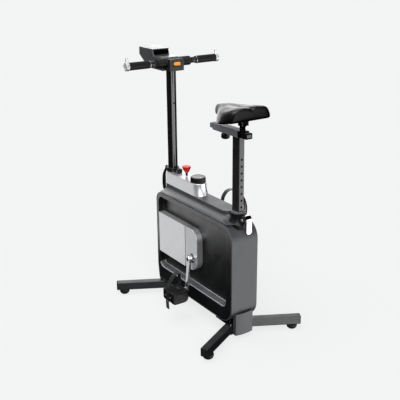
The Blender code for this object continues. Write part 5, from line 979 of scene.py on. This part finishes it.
def make_release_key():
    """The orange key that frees the handlebar, in a dark frame that fills the yoke's pocket."""
    pocket = box("release_button")[0][1] + 0.2
    edge = block_outline(-20.6, 20.6, 1160.4, 1181.6, 4)
    hole = block_outline(-17.4, 17.4, 1163.5, 1178.7, 5)
    rings = [lay(outline(inset), pocket + proud, "XZ") for outline, inset, proud in
             ((edge, 0, 0), (edge, 0, 3.5), (edge, 0.6, 4.2), (hole, 0, 4.2), (hole, 0, 0))]
    skin("release_frame", rings, "handlebar_body", NYLON, closed_rings=True)
    key = plate_rings(block_outline(-17, 17, 1163.9, 1178.3, 4.6), pocket, pocket + 8.6, "XZ", 0.3, 1.4)
    skin("release_key", key, "button_body", ORANGE, "release_button")


def make_slide_rail():
    """The slide rail: a box bar with dark end plugs and a light pad behind, and the head channel round it."""
    body, node = "rail_body", "saddle_rail"
    half, low, top = 15.0, 931.3, 953.3
    bar = block_outline(-half, half, low, top, 3)
    skin("rail_bar", plate_rings(bar, 79.5, 340.5, "XZ", 0.6, 0.6, 2), body, RAIL_GREY, node)
    front_plug = plate_rings(bar, 78, 79.3, "XZ", 0.8, 0.0, 2)
    cap = block_outline(-half - 2.2, half + 2.2, low - 1.6, top + 1.6, 3)
    rear_cap = plate_rings(cap, 312, 341.2, "XZ", 1, 1.4, 3)
    skins("rail_plugs", [front_plug, rear_cap], body, ABS_BLACK, node)
    pad = block_outline(-half + 3.5, half - 3.5, low + 3.7, top - 3.7, 3)
    skin("rail_end_pad", plate_rings(pad, 340, 341.9, "XZ", 0.0, 0.8, 2), body, RAIL_GREY, node)
    outer, inner = (block_outline(-half - margin, half + margin, low - margin, top + margin, radius)
                    for margin, radius in ((4.6, 3.5), (3.5, 2.4)))
    front, rear, edge = 104.0, 286.6, 0.6
    rings = [lay(outline(inset), y, "XZ") for outline, inset, y in
             ((outer, edge, front), (outer, 0, front + edge), (outer, 0, rear - edge), (outer, edge, rear),
              (inner, 0, rear), (inner, 0, front))]
    skin("head_channel", rings, "seat_post_body", RAIL_GREY, closed_rings=True)


def make_tilt_pillar():
    """The dark pillar that tilts the saddle: a collar on the rail, a waisted stem and a bolt on each side."""
    body, node = "rail_body", "saddle_rail"
    collar = block_outline(-21, 21, 930.3, 959.3, 4)
    skin("tilt_collar", plate_rings(collar, 286.8, 314.5, "XZ", 1.5, 1.5, 3), body, ENAMEL, node)
    stem = drawn_in([(288.5, 957, 1), (304.5, 957, 1), (299, 966, 4), (301, 974.5, 4), (311.5, 980, 4),
                     (311.5, 998.6, 10.8), (289.5, 998.6, 10.8), (289.5, 978, 4)], 0)
    middle = np.array((300.5, 978.0))
    shank = [lay(middle + (stem - middle) * size, x, "YZ")
             for size, x in ((0.93, -12), (1, -10.8), (1, 10.8), (0.93, 12))]
    skin("tilt_stem", shank, body, ENAMEL, node)
    head = [(0, 12.2), (6.8, 12.2), (7.2, 12.8), (7.2, 15.2), (6.4, 16.2), (3.6, 16.2), (3.2, 14.6),
            (0, 14.6)]
    for side, word in SIDES:
        turned("tilt_bolt_" + word, head, "X", (0, 300.5, 987.6), body, ZINC, node, steps=40, side=side)


def make_yoke_ribs():
    """Ribbed sleeves on the cross tube: the radius is a rounded square wave along the tube."""
    start, end, pitch, valley, rise = 40.0, 88.0, 6.0, 20.2, 1.2
    x = np.linspace(start, end, 97)
    wave = np.tanh(3 * np.sin(2 * math.pi * (x - start) / pitch)) * 0.5 + 0.5
    bore = valley - 0.7
    profile = [(bore, start), *zip(valley + rise * wave, x), (bore, end), (bore, start)]
    for side, word in SIDES:
        turned("yoke_ribs_" + word, profile, "X", (0, HANDLE_Y, HANDLE_Z), "handlebar_body", ABS_BLACK,
               slot="yoke_plastic", sharp=60, side=side)


make_console()
make_release_key()
make_slide_rail()
make_tilt_pillar()
make_yoke_ribs()

# Stations from nose to tail, as shares of the saddle's size: length, half width, lower rim, side and top
SADDLE_STATIONS = ((0.00, 0.14, 0.22, 0.42, 0.60), (0.05, 0.22, 0.12, 0.40, 0.74),
                   (0.22, 0.32, 0.05, 0.38, 0.84), (0.44, 0.78, -0.03, 0.34, 0.84),
                   (0.65, 1.02, 0.03, 0.38, 0.88), (0.85, 1.00, 0.16, 0.50, 0.99),
                   (0.965, 0.91, 0.24, 0.58, 1.01), (1.00, 0.75, 0.31, 0.61, 0.94))
SADDLE_FRONT, SADDLE_LENGTH, SADDLE_HALF = 114.0, 250.0, 111.0
SADDLE_LOW, SADDLE_HEIGHT = 991.1, 74.5


def saddle_form():
    """Rings across the saddle: half a section runs from the keel over rim, side and shoulder to the crown."""
    rings = []
    for share, width, rim, side, top in smooth_path(SADDLE_STATIONS, 0.02):
        half = SADDLE_HALF * width
        low, middle, high = (SADDLE_LOW + SADDLE_HEIGHT * v for v in (rim, side, top))
        section = smooth_path([(0.99 * half, low), (half, low * 0.55 + middle * 0.45), (0.955 * half, middle),
                               (0.80 * half, high - 0.085 * SADDLE_HEIGHT), (0.42 * half, high),
                               (0, high - 2.5)], 0.5)
        section = section[np.linspace(0, len(section) - 1, 22).astype(int)]
        keel = np.stack([np.linspace(0, 0.99 * half, 8, endpoint=False), np.full(8, low)], 1)
        right = np.concatenate([keel, section])
        loop = np.concatenate([right, (right * (-1, 1))[-2:0:-1]])
        rings.append(lay(loop, SADDLE_FRONT + SADDLE_LENGTH * share, "XZ"))
    return np.array(rings)


def bake(thing):
    """Give an object the mesh that it shows with its modifiers, and take them off."""
    graph = bpy.context.evaluated_depsgraph_get()
    thing.data = bpy.data.meshes.new_from_object(thing.evaluated_get(graph), depsgraph=graph)
    thing.modifiers.clear()


def move_to(mesh, place):
    """Put a mesh's points at their new places."""
    mesh.vertices.foreach_set("co", place.ravel())
    mesh.update()


def blow_up(thing, pressure, most):
    """Blow a closed cover up as cloth for 20 frames, its underside held; no point moves past a limit."""
    scene = bpy.context.scene
    mesh = thing.data
    start = read(mesh.vertices, "co")
    held = thing.vertex_groups.new(name="held")
    held.add(np.flatnonzero(read(mesh.vertices, "normal")[:, 2] < -0.35).tolist(), 1.0, "REPLACE")
    settings = thing.modifiers.new("cover", "CLOTH").settings
    settings.use_pressure = True
    settings.uniform_pressure_force = pressure
    settings.quality = 6
    settings.mass = 0.25
    settings.tension_stiffness = settings.compression_stiffness = 40
    settings.bending_stiffness = 20.0
    settings.effector_weights.gravity = 0
    settings.vertex_group_mass = "held"
    for step in range(1, 21):
        scene.frame_set(step)
    bake(thing)
    scene.frame_set(1)
    move = read(thing.data.vertices, "co") - start
    reach = np.linalg.norm(move, axis=1, keepdims=True)
    move_to(thing.data, start + move * np.minimum(1.0, most / np.maximum(reach, 1e-9)))


def make_saddle():
    """The padded saddle: its form is remeshed at 4 mm, drawn in by 1.5 mm, blown up as cloth and subdivided.

    The sewn channel is a bell curve across the crown, which fades in towards the tail and out at its edge.
    """
    rings = (saddle_form() + (0, AXLE_Y, 0)) * MM
    cage = bpy.data.meshes.new("saddle_cover")
    cage.from_pydata(rings.reshape(-1, 3).tolist(), [], skin_faces(*rings.shape[:2]))
    face_outwards(cage)
    thing = bpy.data.objects.new("saddle_cover", cage)
    bpy.context.scene.collection.objects.link(thing)
    grid = thing.modifiers.new("grid", "REMESH")
    grid.mode = "VOXEL"
    grid.voxel_size = 4 * MM
    soft = thing.modifiers.new("soft", "SMOOTH")
    soft.factor, soft.iterations = 0.5, 10
    bake(thing)
    move_to(thing.data, read(thing.data.vertices, "co") - 1.5 * MM * read(thing.data.vertices, "normal"))
    blow_up(thing, 4.0, 3 * MM)
    calm = thing.modifiers.new("calm", "SMOOTH")
    calm.factor, calm.iterations = 0.5, 30
    fine = thing.modifiers.new("fine", "SUBSURF")
    fine.levels = fine.render_levels = 1
    bake(thing)
    mesh = thing.data
    place = read(mesh.vertices, "co")
    x, y = place[:, 0] / MM, place[:, 1] / MM - AXLE_Y
    along = np.clip((y - 225) / 45, 0, 1) * np.clip((375 - y) / 20, 0, 1)
    upwards = read(mesh.vertices, "normal")[:, 2] > 0.2
    place[:, 2] -= 3.2 * MM * np.exp(-(x / 8.5) ** 2) * along * upwards
    move_to(mesh, place)
    mesh.shade_smooth()
    mesh.materials.clear()
    mesh.materials.append(VINYL)
    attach(thing, "saddle_body")
    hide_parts("saddle_cushion")


make_saddle()


def make_floor():
    """A pale floor that lights nothing, and the same shade past its edge, both for the camera alone."""
    reach = 60.0
    mesh = bpy.data.meshes.new("floor")
    mesh.from_pydata([(-reach, -reach, 0), (reach, -reach, 0), (reach, reach, 0), (-reach, reach, 0)], [],
                     [(0, 1, 2, 3)])
    floor = bpy.data.objects.new("floor", mesh)
    bpy.context.scene.collection.objects.link(floor)
    # Matt paper sheet: a dull pale grey whose own glow hides where the light falls off
    made, _, shader = new_material("pale_studio_floor")
    shader.inputs["Base Color"].default_value = (0.10, 0.10, 0.10, 1)
    shader.inputs["Roughness"].default_value = 1.0
    shader.inputs["Specular IOR Level"].default_value = 0.0
    shader.inputs["Emission Color"].default_value = (0.88, 0.885, 0.89, 1)
    shader.inputs["Emission Strength"].default_value = 0.87
    mesh.materials.append(made)
    floor.visible_glossy = floor.visible_diffuse = False
    floor.visible_shadow = floor.visible_transmission = False
    world = bpy.data.worlds.new("studio")
    bpy.context.scene.world = world
    world.use_nodes = True
    world.node_tree.nodes["Background"].inputs["Color"].default_value = (0.897, 0.901, 0.906, 1)
    world.cycles_visibility.diffuse = world.cycles_visibility.glossy = False


def lamp_at(name, light, spot, toward, only, but):
    """Put a light at a spot; it lights the pieces whose names start with one of only, and none of but."""
    lamp = bpy.data.objects.new(name, light)
    lamp.location = spot
    lamp.rotation_euler = Vector(toward).to_track_quat("Z", "Y").to_euler()
    lamp.visible_camera = False
    bpy.context.scene.collection.objects.link(lamp)
    if only or but:
        lit = bpy.data.collections.new(name + "_lights")
        for piece in bpy.data.objects:
            if piece.type == "MESH" and piece.name.startswith(only or "") and not piece.name.startswith(but):
                lit.objects.link(piece)
        lamp.light_linking.receiver_collection = lit
    return lamp


def sun(name, toward, strength, spread, only=(), but=()):
    """A soft, even light that shines from a direction."""
    light = bpy.data.lights.new(name, "SUN")
    light.energy = strength
    light.angle = math.radians(spread)
    lamp_at(name, light, (0, 0, 3), toward, only, but)


def reflector(name, aim, toward, distance, wide, tall, radiance, only=(), but=()):
    """A rectangular light that shows in glossy surfaces alone, at a distance from the point it aims at."""
    light = bpy.data.lights.new(name, "AREA")
    light.shape = "RECTANGLE"
    light.size, light.size_y = wide, tall
    light.energy = radiance * math.pi * wide * tall
    toward = Vector(toward).normalized()
    lamp_at(name, light, Vector(aim) + toward * distance, toward, only, but).visible_diffuse = False


def make_lights():
    """Soft suns, and the pale walls of the room that each group of glossy pieces mirrors; metres.

    Each light's direction points from the bike to the light.
    """
    saddle, cover = ("saddle_cover",), ("right_belt_cover",)
    left_covers = ("left_belt_cover", "control_bar", "left_crank", "left_hub")
    shaded = (*saddle, *cover, "console_window", "tilt_", "rail_plugs", "post_tube", "rear_left_leg",
              "index_holes")
    shell = ("left_side_panel", "case_band")
    hood = ("console_shell", "dial_", "right_strap")
    behind, far, level = (-0.52, 0.785, -0.333), (-0.52, -0.785, 0.22), (-0.1, 0.95, 0.1)
    facing_left = (0.52, -0.785, -0.333)
    sun("rear_key", (0.60, 1.0, 0.70), 2.6, 40, but=("saddle_cover", "index_holes"))
    sun("top_fill", (0.25, -0.1, 1.0), 2.8, 60)
    sun("side_fill", (1.0, -0.35, 0.30), 0.30, 50, but=saddle)
    sun("rail_fill", (1.0, 0.1, 0.25), 1.5, 40, ("rail_bar", "head_channel", "console_shell"))
    sun("button_fill", (0.1, 1.0, 0.3), 1.3, 40, ("release_key", "seat_post"))
    reflector("rear_wall", (0, 0.36, 0.35), behind, 2.6, 3.6, 3.2, 2.65, but=shaded)
    reflector("post_wall", (0, -0.21, 1.17), level, 2.0, 3.0, 3.0, 4.0, ("post_tube",))
    reflector("saddle_back", (0, 0.3, 1.0), level, 2.0, 3.0, 3.0, 0.8, saddle)
    reflector("leg_wall", (0, 0.3, 0.1), (0.36, 0.87, -0.333), 2.0, 1.6, 2.4, 2.6, ("rear_right_leg",))
    reflector("far_wall", (0, 0, 0.5), far, 3.0, 3.8, 3.2, 1.9, but=saddle)
    reflector("bar_wall", (0, 0.0, 0.62), behind, 2.6, 3.6, 3.2, 1.0, ("control_bar", "seat_post"))
    reflector("saddle_wall", (0, 0.27, 1.0), (-0.25, -0.93, 0.10), 2.0, 2.6, 1.7, 3.3, saddle)
    reflector("console_wall", (0, -0.38, 1.2), (-0.52, -0.785, 0.333), 2.0, 2.4, 1.8, 2.0, hood)
    reflector("cover_wall", (0.07, -0.20, 0.30), facing_left, 1.2, 2.0, 1.6, 0.84, left_covers)
    reflector("right_wall", (-0.07, 0.2, 0.30), (-0.52, 0.785, -0.20), 1.6, 2.4, 2.0, 0.84, cover)
    reflector("panel_wall", (0.07, -0.10, 0.50), facing_left, 0.6, 1.40, 0.38, 2.3, shell)
    reflector("spine_wall", (0.05, 0.0, 0.57), (0.32, -0.785, 0.51), 1.2, 1.8, 1.0, 2.8, ("spine_moulding",))


def make_camera():
    """The camera at the photograph's place, from its own right, up and ahead; metres."""
    camera = bpy.data.cameras.new("camera")
    camera.sensor_width = 36.0
    camera.lens = 65.895
    camera.clip_end = 200.0
    eye = bpy.data.objects.new("camera", camera)
    right = Vector((-0.831377, 0.555647, -0.008293))
    up = Vector((-0.191502, -0.272459, 0.942917))
    ahead = Vector((-0.521670, -0.785508, -0.332924))
    turn = Matrix((right, up, -ahead)).transposed().to_4x4()
    eye.matrix_world = Matrix.Translation((1.78782, 2.66365 + AXLE_Y * MM, 1.70)) @ turn
    scene = bpy.context.scene
    scene.collection.objects.link(eye)
    scene.camera = eye
    scene.view_settings.view_transform = "Standard"


make_floor()
make_lights()
make_camera()
